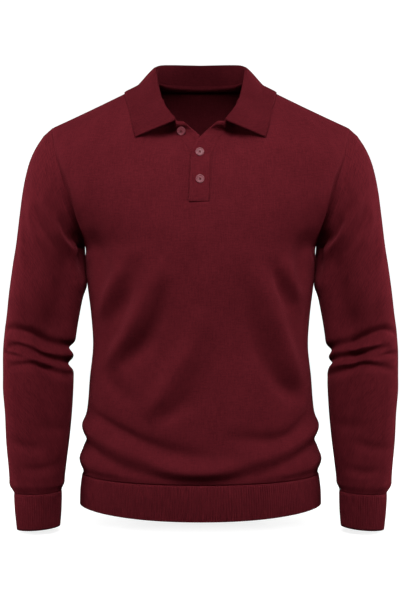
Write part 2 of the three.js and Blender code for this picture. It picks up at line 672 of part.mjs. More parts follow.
// The collar runs up its stand, over the fold and down its leaf, with the side that shows outermost.
const HALF_COLLAR = neckSeam.length - 1;
function collarPoint(k, j) {
  const side = k < HALF_COLLAR ? -1 : 1;
  const { p: seam, run } = neckSeam[Math.abs(k - HALF_COLLAR)];
  const share = run / neckLength;
  const line = (column) => at(COLLAR_LINES, "share", column, share);
  const fold = new THREE.Vector3(line("foldX"), line("foldY"), line("foldZ"));
  const edge = new THREE.Vector3(line("edgeX"), line("edgeY"), line("edgeZ"));
  const outward = new THREE.Vector3(seam.x, seam.y + COLLAR.centreY, 0).normalize();
  const roll = line("roll");
  const rise = (z) => new THREE.Vector3(0, 0, z);
  const start = seam.clone().addScaledVector(outward, -COLLAR.wall).add(rise(SEAM_GAP));
  let p;
  if (j <= GRID.stand) {
    const t = 1 - (1 - j / GRID.stand) ** COLLAR.standCurve;
    const lower = start.clone().add(rise((fold.z - start.z) * COLLAR.standRise));
    p = bezier(t, start, lower, fold.clone().addScaledVector(outward, -roll), fold);
  } else {
    const v = (j - GRID.stand) / GRID.leaf;
    const down = edge.clone().lerp(fold, COLLAR.leafFall).add(rise(-COLLAR.hollow * (1 - share)));
    const over = fold.clone().addScaledVector(outward, roll);
    p = bezier(v ** COLLAR.leafCurve, fold, over, down, edge);
    const front = ease((share - COLLAR.frontShare) / (1 - COLLAR.frontShare));
    p = clearOfBody(p, COLLAR.wall + mix(COLLAR.lift, COLLAR.frontLift, front * (1 - v * v)));
  }
  return p.setX(side * p.x);
}
const collarSheet = gridSheet(2 * HALF_COLLAR, GRID.stand + GRID.leaf, collarPoint);

// A tape inside the back of the neck, over the seam: its upper edge on the stand, the rest on the panel.
const tapeSheet = gridSheet(TAPE.columns, 2, (k, j) => {
  const middle = TAPE.columns / 2;
  const { x, y, z } = neckSeam[Math.abs(k - middle)].p;
  const side = Math.sign(middle - k);
  const sideways = (x / SHOULDER.neckX) ** 2;
  const inwards = new THREE.Vector3(x, y + COLLAR.centreY, 0).normalize();
  const off = COLLAR.wall + TAPE.wall + 2 * SEAM_GAP + sideways;
  const height = [-TAPE.down - TAPE.sideDown * sideways, TAPE.middle, TAPE.up * (1 - sideways)][j];
  const p = j === 0 ? onBody("back", x, z + height, -TAPE.lowerOff - sideways)
    : new THREE.Vector3(x, y, z + height).addScaledVector(inwards, -off);
  return p.setX(p.x * side);
}, { flip: true });

// ---- Buttons ----
function buttonGeometry() {
  const ring = (radius, sides, x = 0, y = 0) => Array.from({ length: sides }, (_, i) => {
    const angle = (2 * Math.PI * i) / sides;
    return new THREE.Vector2(x + radius * Math.cos(angle), y + radius * Math.sin(angle));
  });
  const face = new THREE.Shape(ring(BUTTON.radius, BUTTON.sides));
  const off = BUTTON.holeSpacing / 2;
  for (const [x, y] of [[-off, -off], [off, -off], [off, off], [-off, off]]) {
    face.holes.push(new THREE.Path(ring(BUTTON.holeRadius, BUTTON.holeSides, x, y)));
  }
  return new THREE.ExtrudeGeometry(face, { depth: BUTTON.thick, bevelEnabled: false });
}

// ---- The garment ----
const knit = new THREE.MeshStandardMaterial({ color: 0x5c1a24, roughness: 0.92, metalness: 0 });
const rib = new THREE.MeshStandardMaterial({ color: 0x55171f, roughness: 0.94, metalness: 0 });
const buttonFinish = new THREE.MeshStandardMaterial({ color: 0xa35561, roughness: 0.35, metalness: 0 });
const garment = new THREE.Group();
garment.name = "polo_sweater";

function add(name, geometry, material) {
  const mesh = new THREE.Mesh(geometry, material);
  mesh.name = name;
  garment.add(mesh);
  return mesh;
}

const bodyNormals = normalsOf(frontSheet, backSheet, sleeveLeftSheet, sleeveRightSheet);
// The edges that meet the band and the cuffs are cut square to them.
const atBand = (p) => p.z < BAND.sideTop + SEAM_GAP;
const bandRims = [frontSheet, backSheet].map((sheet) => sheet.points.filter(atBand));
const cuffRims = [sleeveLeftSheet, sleeveRightSheet].map((sheet) => sheet.points.slice(-ROUND));
for (const p of [...bandRims, ...cuffRims].flat()) bodyNormals.get(placeKey(p)).setZ(0).normalize();
add("front_panel", thicken(frontSheet, WALL, bodyNormals), knit);
add("back_panel", thicken(backSheet, WALL, bodyNormals), knit);
add("sleeve_left", thicken(sleeveLeftSheet, WALL, bodyNormals), knit);
add("sleeve_right", thicken(sleeveRightSheet, WALL, bodyNormals), knit);
add("hem_band", ribbedTube(bandPoint, BAND.ribs, BAND.ribHeight, BAND.wall), rib);
add("cuff_left", ribbedTube(cuffPoint(1), CUFF.ribs, CUFF.ribHeight, CUFF.wall), rib);
add("cuff_right", ribbedTube(cuffPoint(-1), CUFF.ribs, CUFF.ribHeight, CUFF.wall), rib);
add("collar", thicken(collarSheet, COLLAR.wall), knit);
add("placket_upper", thicken(upperSheet, PLACKET.wall), knit);
add("placket_under", thicken(underSheet, PLACKET.wall), knit);
add("neck_tape", thicken(tapeSheet, TAPE.wall), knit);

// Each button lies on its strip, square to the cloth.
BUTTONS.forEach(({ side, share, height }, i) => {
  const near = 0.05;
  const on = (ds, dh) => stripPoint(side, share + ds, height + dh);
  const across = on(-side * near, 0).sub(on(side * near, 0));
  const up = on(0, near).sub(on(0, -near));
  const outward = new THREE.Vector3().crossVectors(across, up).normalize();
  const button = add(`button_${i + 1}`, buttonGeometry(), buttonFinish);
  button.quaternion.setFromUnitVectors(new THREE.Vector3(0, 0, 1), outward);
  button.position.copy(on(0, 0)).addScaledVector(outward, BUTTON.lift);
});

export default garment;
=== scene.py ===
# %% [markdown]
# # A knitted polo sweater
# This is a long-sleeved polo in fine jersey, filled out as if it were worn, with nobody in it. It has a
# rib band round the hem, rib cuffs, a fold-over collar and a short buttoned placket.
# The solid model from the CAD step is the frame: it fixes every size. Here each solid gets its real
# cloth: a thin shell on the same form, with its creases, its knit and its sewing.
# All sizes are in millimetres, as a maker writes them. MM turns them into Blender's metres.

# %% Load the frame
import json
import math

import bpy
import numpy as np
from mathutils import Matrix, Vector

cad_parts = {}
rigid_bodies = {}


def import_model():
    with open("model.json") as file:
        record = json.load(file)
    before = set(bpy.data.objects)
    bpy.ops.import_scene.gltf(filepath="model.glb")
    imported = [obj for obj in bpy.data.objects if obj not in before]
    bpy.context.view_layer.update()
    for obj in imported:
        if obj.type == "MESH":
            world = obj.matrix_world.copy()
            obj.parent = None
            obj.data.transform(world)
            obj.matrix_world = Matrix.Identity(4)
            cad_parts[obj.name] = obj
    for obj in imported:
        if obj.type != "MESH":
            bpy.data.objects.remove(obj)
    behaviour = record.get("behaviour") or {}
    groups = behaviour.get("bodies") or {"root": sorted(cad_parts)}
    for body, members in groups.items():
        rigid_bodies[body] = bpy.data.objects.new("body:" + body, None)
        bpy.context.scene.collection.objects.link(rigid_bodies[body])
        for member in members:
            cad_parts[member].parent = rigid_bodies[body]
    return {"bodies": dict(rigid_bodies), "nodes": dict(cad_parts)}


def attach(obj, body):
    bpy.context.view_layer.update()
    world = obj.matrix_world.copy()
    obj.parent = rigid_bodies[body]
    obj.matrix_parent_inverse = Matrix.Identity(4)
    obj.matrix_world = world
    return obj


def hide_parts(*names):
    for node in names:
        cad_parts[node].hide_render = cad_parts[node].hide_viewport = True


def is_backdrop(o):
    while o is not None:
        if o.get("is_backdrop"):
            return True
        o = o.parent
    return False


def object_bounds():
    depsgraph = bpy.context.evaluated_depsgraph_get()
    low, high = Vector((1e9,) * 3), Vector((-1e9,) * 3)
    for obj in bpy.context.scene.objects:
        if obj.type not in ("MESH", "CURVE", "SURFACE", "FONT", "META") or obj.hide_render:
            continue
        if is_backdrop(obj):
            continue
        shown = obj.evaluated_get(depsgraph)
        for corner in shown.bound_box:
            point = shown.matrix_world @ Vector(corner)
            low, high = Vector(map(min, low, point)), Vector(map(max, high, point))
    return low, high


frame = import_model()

MM = 0.001
cad_low, cad_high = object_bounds()
print("nodes:", ", ".join(sorted(frame["nodes"])))
print("box in mm:", [round(c / MM) for c in (*cad_low, *cad_high)])

# %% [markdown]
# ## A tool for finishes
# Each finish is a small node tree on the Principled shader. This class keeps the words short: sums,
# noise, a change from one colour to another, and the setting of the shader's own sockets.

# %% A tool for finishes


class Finish:
    """A node material, with short words for the sums that draw a pattern."""

    def __init__(self, name):
        self.material = bpy.data.materials.new(name)
        self.material.use_nodes = True
        self.tree = self.material.node_tree
        self.shader = self.tree.nodes["Principled BSDF"]

    def node(self, kind, inputs=(), **settings):
        made = self.tree.nodes.new(kind)
        for key, value in settings.items():
            setattr(made, key, value)
        for socket, value in dict(inputs).items():
            self.join(value, made.inputs[socket])
        return made

    def join(self, value, socket):
        """Links a node's output to a socket, or sets the socket to a plain value."""
        if isinstance(value, bpy.types.NodeSocket):
            self.tree.links.new(value, socket)
        else:
            socket.default_value = value

    def sum(self, operation, a, b=0.0, clamp=False):
        made = self.node("ShaderNodeMath", enumerate((a, b)), operation=operation, use_clamp=clamp)
        return made.outputs[0]

    def knit_place(self):
        """The place along the knit in metres, across and up."""
        uv = self.node("ShaderNodeUVMap", uv_map="knit").outputs[0]
        parts = self.node("ShaderNodeSeparateXYZ", {0: uv}).outputs
        return uv, parts[0], parts[1]

    def noise(self, place, per_metre, detail=2.0, rough=0.5):
        spots = self.node(
            "ShaderNodeTexNoise",
            {"Vector": place, "Scale": per_metre, "Detail": detail, "Roughness": rough},
        )
        return spots.outputs["Fac"]

    def between(self, share, low, high):
        """Goes from one colour to another."""
        mixer = self.tree.nodes.new("ShaderNodeMix")
        mixer.data_type = "RGBA"
        colours = [socket for socket in mixer.inputs if socket.type == "RGBA"]
        for socket, value in ((mixer.inputs[0], share), (colours[0], low), (colours[1], high)):
            self.join(value, socket)
        return next(socket for socket in mixer.outputs if socket.type == "RGBA")

    def set(self, **sockets):
        """Joins values to the shader's sockets, which are named here with underlines for spaces."""
        for name, value in sockets.items():
            self.join(value, self.shader.inputs[name.replace("_", " ").title().replace("Ior", "IOR")])


# %% [markdown]
# ## Camera and studio
# The camera stands straight in front of the garment, a little under two metres away, level with its
# middle. A long lens keeps the shape calm. The setting is plain: a pale floor that curves up into a
# backdrop, so that no horizon shows, and large soft lights.

# %% Camera
CAMERA = dict(place=(0, -1900, -357), film=36, lens=70.25)
LEVEL = (math.radians(90), 0, 0)


def add_to_scene(name, data):
    """An object that holds this data, in the scene's own collection."""
    obj = bpy.data.objects.new(name, data)
    bpy.context.scene.collection.objects.link(obj)
    return obj


camera_data = bpy.data.cameras.new("camera")
camera_data.sensor_width, camera_data.lens = CAMERA["film"], CAMERA["lens"]
camera = add_to_scene("camera", camera_data)
camera.location = Vector(CAMERA["place"]) * MM
camera.rotation_euler = LEVEL
bpy.context.scene.camera = camera
print("camera in mm:", CAMERA["place"], "lens in mm:", CAMERA["lens"])

# %% [markdown]
# The backdrop is a side view turned round the garment: flat floor, quarter-circle, wall. So there is white
# paper behind it from every side.

# %% Floor and backdrop
FLOOR = dict(top=-724, flat=4200, bend=900, wall=3200, sides=96, steps=16)


def backdrop():
    bend, flat, top, sides = FLOOR["bend"], FLOOR["flat"], FLOOR["top"], FLOOR["sides"]
    turn = np.linspace(0, math.pi / 2, FLOOR["steps"] + 1)
    # The innermost ring is as small as a pin's head, so it needs no cap.
    radius = np.concatenate([[1, flat / 2], flat + bend * np.sin(turn), [flat + bend]])[:, None]
    height = np.concatenate([[top, top], top + bend * (1 - np.cos(turn)), [top + FLOOR["wall"]]])[:, None]
    angle = 2 * math.pi * np.arange(sides) / sides
    points = np.stack([radius * np.cos(angle), radius * np.sin(angle), height + 0 * angle], axis=-1)
    ring, place = np.meshgrid(np.arange(len(radius) - 1), np.arange(sides), indexing="ij")
    here, beside = ring * sides + place, ring * sides + (place + 1) % sides
    quads = np.stack([here, beside, beside + sides, here + sides], axis=-1)
    mesh = bpy.data.meshes.new("backdrop")
    mesh.from_pydata((points.reshape(-1, 3) * MM).tolist(), [], quads.reshape(-1, 4).tolist())
    mesh.shade_smooth()
    return add_to_scene("backdrop", mesh)


sweep = backdrop()
sweep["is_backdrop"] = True
# The paper lights the picture's background and not the garment, whose light comes from the lamps.
sweep.visible_diffuse = False
print(f"backdrop: {len(sweep.data.polygons)} faces, {2 * (FLOOR['flat'] + FLOOR['bend']) * MM:.1f} m wide")

# %% [markdown]
# The paper glows evenly white. Right under the band and the cuffs a shadow is painted into its glow instead:
# a rectangle with round corners, which is darkest in its middle and fades out all round.

# %% White paper with painted shadows
PAINTED_SHADOWS = {
    # name: (middle x, middle y, half width, half depth, glow at the painted shadow's darkest)
    "under_band": (0, 150, 186, 125, 0.79),
    "under_cuffs": (250, 30, 44, 122, 0.84),
}
PAINTED_SHADOW = dict(full=0.6, gone=3.1, squareness=4.0)
PAPER_GREYS = ((0.40, 0.40, 0.40, 1), (0.44, 0.44, 0.44, 1))
paper = Finish("white_paper")
spot = paper.node("ShaderNodeTexCoord").outputs["Object"]
spot_axes = paper.node("ShaderNodeSeparateXYZ", {0: spot}).outputs
glow = 1.0
# Each painted shadow dims the paper's glow itself, apart from any shadow the lamps cast on it.
for middle_x, middle_y, wide, deep, darkest in PAINTED_SHADOWS.values():
    sideways = paper.sum("SUBTRACT", paper.sum("ABSOLUTE", spot_axes[0]), middle_x * MM)
    sideways = paper.sum("ABSOLUTE", paper.sum("DIVIDE", sideways, wide * MM))
    forward = paper.sum("DIVIDE", paper.sum("SUBTRACT", spot_axes[1], middle_y * MM), deep * MM)
    away = paper.sum(
        "ADD", paper.sum("POWER", sideways, PAINTED_SHADOW["squareness"]), paper.sum("MULTIPLY", forward, forward)
    )
    limits = {"From Min": PAINTED_SHADOW["full"], "From Max": PAINTED_SHADOW["gone"], "To Min": darkest, "To Max": 1.0}
    painted_fade = paper.node("ShaderNodeMapRange", {"Value": away, **limits}, interpolation_type="SMOOTHSTEP")
    glow = paper.sum("MULTIPLY", painted_fade.outputs["Result"], glow)
paper.set(
    base_color=paper.between(paper.noise(spot, 900, 3.0), *PAPER_GREYS),
    roughness=1.0,
    specular_ior_level=0.0,
    emission_color=(1, 1, 1, 1),
    emission_strength=glow,
)
sweep.data.materials.append(paper.material)

# %% [markdown]
# A broad light above the camera models the folds from the top, and two weaker ones open the sides. Two
# tall ones behind draw the bright edge that the fine fuzz of the knit picks up. A dim white room around
# gives the rest.

# %% Lights
LIGHTS = {
    # name: (place, width, height, watts)
    "key": ((0, -1300, 760), 900, 500, 32),
    "fill_left": ((1500, -380, -300), 500, 900, 10),
    "fill_right": ((-1500, -380, -300), 500, 900, 10),
    "rim_left": ((1500, 600, -480), 400, 1700, 36),
    "rim_right": ((-1500, 600, -480), 400, 1700, 36),
}
AIM = Vector((0, 0, -140)) * MM
for name, (place, width, height, watts) in LIGHTS.items():
    lamp_data = bpy.data.lights.new(name, "AREA")
    lamp_data.shape = "RECTANGLE"
    lamp_data.size, lamp_data.size_y = width * MM, height * MM
    lamp_data.energy = watts
    lamp = add_to_scene(name, lamp_data)
    lamp.location = Vector(place) * MM
    lamp.rotation_euler = (AIM - lamp.location).to_track_quat("-Z", "Y").to_euler()

ROOM_LIGHT = 0.07
world = bpy.data.worlds.new("white_room")
world.use_nodes = True
room = world.node_tree.nodes["Background"].inputs
room["Color"].default_value, room["Strength"].default_value = (1, 1, 1, 1), ROOM_LIGHT
bpy.context.scene.world = world
bpy.context.scene.view_settings.view_transform = "Standard"
print("lamps:", ", ".join(LIGHTS))

# %% [markdown]
# The inside of the neck is deep and dim. A dark, half clear card stands across its opening and takes away
# more than half of the light that falls through it. The camera looks past the card.

# %% Card in the neck
CARD = dict(place=(0, -50, 66), width=124, height=180, dark=0.01, stops=0.57)
bpy.ops.object.select_all(action="DESELECT")
bpy.ops.mesh.primitive_plane_add(size=1, location=Vector(CARD["place"]) * MM, rotation=LEVEL)
card = bpy.context.object
card.name = "neck_card"
card.scale = (CARD["width"] * MM, CARD["height"] * MM, 1)
black = Finish("black_card")
black.set(base_color=(CARD["dark"],) * 3 + (1,), roughness=1.0, alpha=CARD["stops"])
card.data.materials.append(black.material)
card.visible_camera = False
card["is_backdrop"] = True
print(f"card: {CARD['width']} x {CARD['height']} mm")

# %% [markdown]
# ## The garment's form
# A maker grades a garment from a few measures. The same few shape this one: the half width, front and
# back depth at each height, the shoulder line, the armhole and the neck. Reading them on a smooth curve
# between the rows gives as fine a surface as the cloth needs.

# %% Sizes
SHOULDER = dict(neckX=78, tipX=240, tipZ=-78, crown=12, dip=1.5, roundHeight=85)
ARMPIT = dict(x=187, z=-268)
ARMHOLE_BOW = 2
ROUNDNESS = 2.4
NECK = dict(frontDrop=90, frontFloor=79.5, backDrop=4, backCurve=6)
BAND = dict(sideTop=-635, sideEnd=-683, height=48, wall=2.4, ribs=300, ribHeight=0.9)
BAND_SAG = dict(frontTop=3, backTop=1.5, frontEnd=9, backEnd=3)
CUFF = dict(height=55, wall=2.2, ribs=64, ribHeight=0.8)
SEAM_GAP = 0.3
WALL = 1.8
UP = np.array([0, 0, 1.0])


def table(names, *rows):
    """Rows of numbers as named columns."""
    return dict(zip(names.split(), np.array(rows, float).T))


FORM = table(
    "z half front back",
    (-700, 195, 125, 116), (-660, 192.5, 123, 114), (-631, 190, 121, 112),
    (-600, 190, 122, 113), (-560, 187.5, 119.5, 110), (-520, 182.5, 116, 105),
    (-480, 179.5, 112.5, 99), (-430, 174.5, 109, 92), (-380, 177.5, 112.5, 92.5),
    (-330, 183.5, 119.5, 99.5), (-290, 186.5, 123.5, 106), (-268, 187, 124.5, 109),
    (-240, 209, 124.5, 112.5), (-210, 235, 122, 115), (-180, 256, 117.5, 115),
    (-150, 268, 111.5, 113), (-115, 275, 101.5, 108), (-78, 279, 86, 100),
    (-40, 281, 70, 88), (0, 282, 56, 73), (40, 282, 45, 58),
)
# Rolls of cloth right round the body, over the band: their heights, how far they lift it, and their reach.
ROLLS = table(
    "frontZ sideZ backZ front side back reach",
    (-636, -579, -612, -1.6, -4.2, -6, 9),
    (-612, -556, -590, 4.4, 5, 5, 12),
    (-641, -611, -637, 1, 6.2, 1.5, 13),
)
ROLL_START = 14
print("heights in the body's form:", len(FORM["z"]), "and rolls over the band:", len(ROLLS["reach"]))

# %% [markdown]
# `read` draws a smooth curve through a table's rows. `ease` starts and ends a change softly, and `bell` is
# the round-topped shape of a fold or a dip.

# %% Reading the sizes


def clamp(t):
    return np.clip(t, 0, 1)


def mix(a, b, t):
    return a + (b - a) * t


def ease(t):
    return clamp(t) ** 2 * (3 - 2 * clamp(t))


def bell(distance, reach):
    """1 at no distance, soft, and next to nothing at twice its reach."""
    return np.exp(-((distance / reach) ** 2))


def read(rows, key, column, q):
    """A column at any value of its key, on a smooth curve through the rows."""
    k, v = rows[key], rows[column]
    last = len(k) - 1
    i = np.clip(np.searchsorted(k, q, side="right") - 1, 0, last - 1)
    p, n = np.maximum(i - 1, 0), np.minimum(i + 2, last)
    h = k[i + 1] - k[i]
    t = clamp((q - k[i]) / h)
    m0 = (v[i + 1] - v[p]) / (k[i + 1] - k[p]) * h
    m1 = (v[n] - v[i]) / (k[n] - k[i]) * h
    near = (2 * t**3 - 3 * t**2 + 1) * v[i] + (t**3 - 2 * t**2 + t) * m0
    return near + (3 * t**2 - 2 * t**3) * v[i + 1] + (t**3 - t**2) * m1


# %% [markdown]
# Now the form itself: a rounded section at every height, which closes over the shoulder, with the rolls
# over the band laid on it. Every cloth piece of the body takes its points from `on_body`, so the pieces
# meet at their seams by themselves.

# %% The body's form


def ridge(x):
    """The height of the shoulder seam, carried on over the neck opening."""
    neck, tip, crown = SHOULDER["neckX"], SHOULDER["tipX"], SHOULDER["crown"]
    slope = -SHOULDER["tipZ"] / (math.hypot(tip, crown) - math.hypot(neck, crown))
    t = clamp((np.abs(x) - neck) / (tip - neck))
    return slope * (math.hypot(neck, crown) - np.hypot(x, crown)) - SHOULDER["dip"] * 4 * t * (1 - t)


def half_width(z):
    return read(FORM, "z", "half", z)


def depth(face, x, z):
    """How far the front or the back stands out from the side seams' plane."""
    across = clamp(np.abs(x) / half_width(z))
    round_over = clamp(1 - (ridge(x) - z) / SHOULDER["roundHeight"])
    return read(FORM, "z", face, z) * np.sqrt(1 - across**ROUNDNESS) * np.sqrt(1 - round_over**2)


def rolled(face, x, z):
    """How far the rolls over the band lift the cloth."""
    side = (x / half_width(z)) ** 2
    seam = BAND["sideTop"] - BAND_SAG[face + "Top"] * (1 - side)
    lift = 0
    for n, reach in enumerate(ROLLS["reach"]):
        level = mix(ROLLS[face + "Z"][n], ROLLS["sideZ"][n], side)
        lift = lift + mix(ROLLS[face][n], ROLLS["side"][n], side) * bell(z - level, reach)
    return ease((z - seam) / ROLL_START) * lift


def edge_x(z):
    """The armhole's half width at a height, and the side seam's below the armpit."""
    mid = (SHOULDER["tipZ"] + ARMPIT["z"]) / 2
    half = (SHOULDER["tipZ"] - ARMPIT["z"]) / 2
    c = np.clip((z - mid) / half, -1, 1)
    hole = mix(ARMPIT["x"], SHOULDER["tipX"], (1 + c) / 2) + ARMHOLE_BOW * (1 - c * c)
    return np.where(z <= ARMPIT["z"], half_width(z), hole)


def on_body(face, x, z, out=0):
    """A point of the outer face of the front or back, moved out by the rolls and by more if asked."""
    sign = -1 if face == "front" else 1
    y = depth(face, x, z)
    nx, ny = x / half_width(z) ** 2, sign * y / read(FORM, "z", face, z) ** 2
    size = np.maximum(np.hypot(nx, ny), 1e-9)
    moved = rolled(face, x, z) + out
    return np.stack([x + nx / size * moved, sign * y + ny / size * moved, z + 0 * x], axis=-1)


print(f"width at the armpits: {2 * half_width(ARMPIT['z']):.0f} mm, shoulder slope: {-SHOULDER['tipZ']} mm")

# %% [markdown]
# ## Creases
# Cloth on a body falls in soft ridges and troughs. Each one here is a line of three to seven points on
# the cloth, and at every point it has its own height and its own reach to both sides. A height of 0 at
# the ends lets it fade out. Placing them one by one beats a simulation for a garment: they stay where the
# arm bends and where the cloth hangs, and they differ from each other as real ones do.

# %% A tool for creases
LINE_STEPS = 6


def smooth_line(points):
    """A smooth curve through a crease's points, with its height and reach at each place."""
    points = np.array(points, float)
    rows = {"t": np.arange(len(points), dtype=float)}
    rows.update({str(c): points[:, c] for c in range(4)})
    t = np.linspace(0, len(points) - 1, (len(points) - 1) * LINE_STEPS + 1)
    return np.stack([read(rows, "t", str(c), t) for c in range(4)], axis=-1)


def creased(creases, a, b, deeper=1, wider=1):
    """How far the creases lift the cloth at the places (a, b)."""
    total = np.zeros(np.shape(a))
    for points in creases:
        nearest, lift = np.full(np.shape(a), np.inf), np.zeros(np.shape(a))
        line = smooth_line(points)
        for start, end in zip(line[:-1], line[1:]):
            along = end[:2] - start[:2]
            t = clamp(((a - start[0]) * along[0] + (b - start[1]) * along[1]) / (along @ along))
            off = (a - start[0] - t * along[0]) ** 2 + (b - start[1] - t * along[1]) ** 2
            height, reach = (mix(start[c], end[c], t) for c in (2, 3))
            closer = off < nearest
            lift = np.where(closer, deeper * height * np.exp(-off / (wider * reach) ** 2), lift)
            nearest = np.where(closer, off, nearest)
        total += lift
    return total


# %% [markdown]
# ## From points to cloth
# Every cloth piece is a grid of points, row by row. The grid becomes a mesh with its own UV map, in
# metres along the knit, so that the stitches keep their size everywhere. A Solidify modifier then
# gives the sheet its wall, inwards, and is applied.

# %% A tool for sheets
MERGE_WITHIN = 0.02
BODY = list(frame["bodies"])[0]


def only(obj):
    """Selects one object and nothing else."""
    bpy.ops.object.select_all(action="DESELECT")
    obj.select_set(True)
    bpy.context.view_layer.objects.active = obj


def run_length(points, axis):
    """How far along a grid's rows or columns each point lies."""
    steps = np.linalg.norm(np.diff(points, axis=axis), axis=-1)
    return np.insert(np.cumsum(steps, axis=axis), 0, 0, axis=axis)


def mesh_of(name, points, knit, keep=None, flip=False, close_across=False, close_along=False):
    """A mesh from a grid of points in mm. knit holds the place of each point along the knit, in mm."""
    rows, cols = points.shape[:2]
    j, k = np.meshgrid(
        np.arange(rows if close_along else rows - 1),
        np.arange(cols if close_across else cols - 1),
        indexing="ij",
    )
    if keep is not None:
        j, k = j[keep], k[keep]
    j, k = j.ravel(), k.ravel()
    corners = [(j, k), (j, k + 1), (j + 1, k + 1), (j + 1, k)]
    if flip:
        corners.reverse()
    quads = np.stack([(r % rows) * cols + c % cols for r, c in corners], axis=-1)
    mesh = bpy.data.meshes.new(name)
    mesh.from_pydata((points.reshape(-1, 3) * MM).tolist(), [], quads.tolist())
    # A closed tube meets itself: there the UV map runs on past its full width.
    wide = np.array(knit, float)
    if close_across:
        wide = np.concatenate([wide, 2 * wide[:, -1:] - wide[:, -2:-1]], axis=1)
    if close_along:
        wide = np.concatenate([wide, 2 * wide[-1:] - wide[-2:-1]], axis=0)
    uv = mesh.uv_layers.new(name="knit")
    places = np.stack([wide[r, c] for r, c in corners], axis=1).reshape(-1, 2) * MM
    uv.data.foreach_set("uv", places.ravel())
    return add_to_scene(name, mesh)


# %% Walls


def clean(obj):
    """Drops points that no face uses, and joins any that coincide."""
    only(obj)
    bpy.ops.object.mode_set(mode="EDIT")
    bpy.ops.mesh.select_all(action="SELECT")
    bpy.ops.mesh.delete_loose()
    bpy.ops.mesh.select_all(action="SELECT")
    bpy.ops.mesh.remove_doubles(threshold=MERGE_WITHIN * MM)
    bpy.ops.object.mode_set(mode="OBJECT")


def give_wall(obj, wall):
    """Thickens a sheet inwards by its wall, in mm."""
    clean(obj)
    bpy.ops.object.modifier_add(type="SOLIDIFY")
    solid = obj.modifiers[-1]
    solid.thickness, solid.offset, solid.use_even_offset = wall * MM, -1, False
    bpy.ops.object.modifier_apply(modifier=solid.name)


# %% [markdown]
# A finished piece stands for a solid of the CAD model and lies on its body. One short function says both.

# %% Finishing a piece


def area_of(obj):
    return sum(face.area for face in obj.data.polygons)


def hand_in(obj, material, slot, *nodes):
    """Smooths a piece, gives it its finish, and lets it stand for its solids on the garment's body."""
    obj.data.materials.clear()
    obj.data.materials.append(material)
    obj.data.shade_smooth()
    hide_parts(*nodes)
    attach(obj, BODY)
    print(f"{obj.name}: {len(obj.data.polygons)} faces, {area_of(obj):.3f} m2 inside and out")


# %% [markdown]
# ## The knit
# Fine jersey shows on its face as columns of small Vs: each stitch has two legs that lean towards each
# other. A real sweater has about seven such columns in a centimetre. They are too many to model, so the
# material raises them: the UV map gives the place in metres along the knit, and a little arithmetic
# turns it into one leg of a stitch. The yarn's own fuzz comes from fine noise and from the sheen.
# Two yarn shades lie close together, because dyed wool takes its colour unevenly. The lighter one is also
# painted on the tops of the stitches and of the fuzz, and the darker one between them: painted shade in the
# knit's hollows.

# %% Knit finishes
YARN_DARK = (0.060, 0.0062, 0.0094, 1)
YARN_LIGHT = (0.118, 0.0126, 0.0184, 1)


def tint(colour, share):
    return tuple(c * share for c in colour[:3]) + (1,)


# How the columns drift sideways, how far a leg leans, how plump it is, and how its ends taper off.
STITCH = dict(driftsPerMetre=160, drift=0.9, lean=1.3, plump=14.0, taper=1.1)
# How much yarn and fuzz count in the height, and in the colour: painted shade, darker in the hollows between
# them.
FUZZ = dict(perMetre=2600, detail=3.0, rough=0.7, height=0.6, paintedStitchShade=0.55, fuzzToneAndShade=0.35)
BUMP_STRENGTH = 0.6
ROUGHNESS = dict(yarn=0.78, fuzz=0.16)
SHEEN = dict(sheen_weight=0.17, sheen_roughness=0.32, sheen_tint=(0.6, 0.09, 0.125, 1))


def uneven_yarn_and_painted_wrinkles(runs):
    """Spots per metre across and up, and weight: patches, specks, thick and thin courses and columns. Raised
    in weight, the course streaks are painted shade of fine wrinkles.
    """
    return (24, 24, 0.5), (400, 400, 0.75), (70, 560, runs[0]), (480, 60, runs[1])


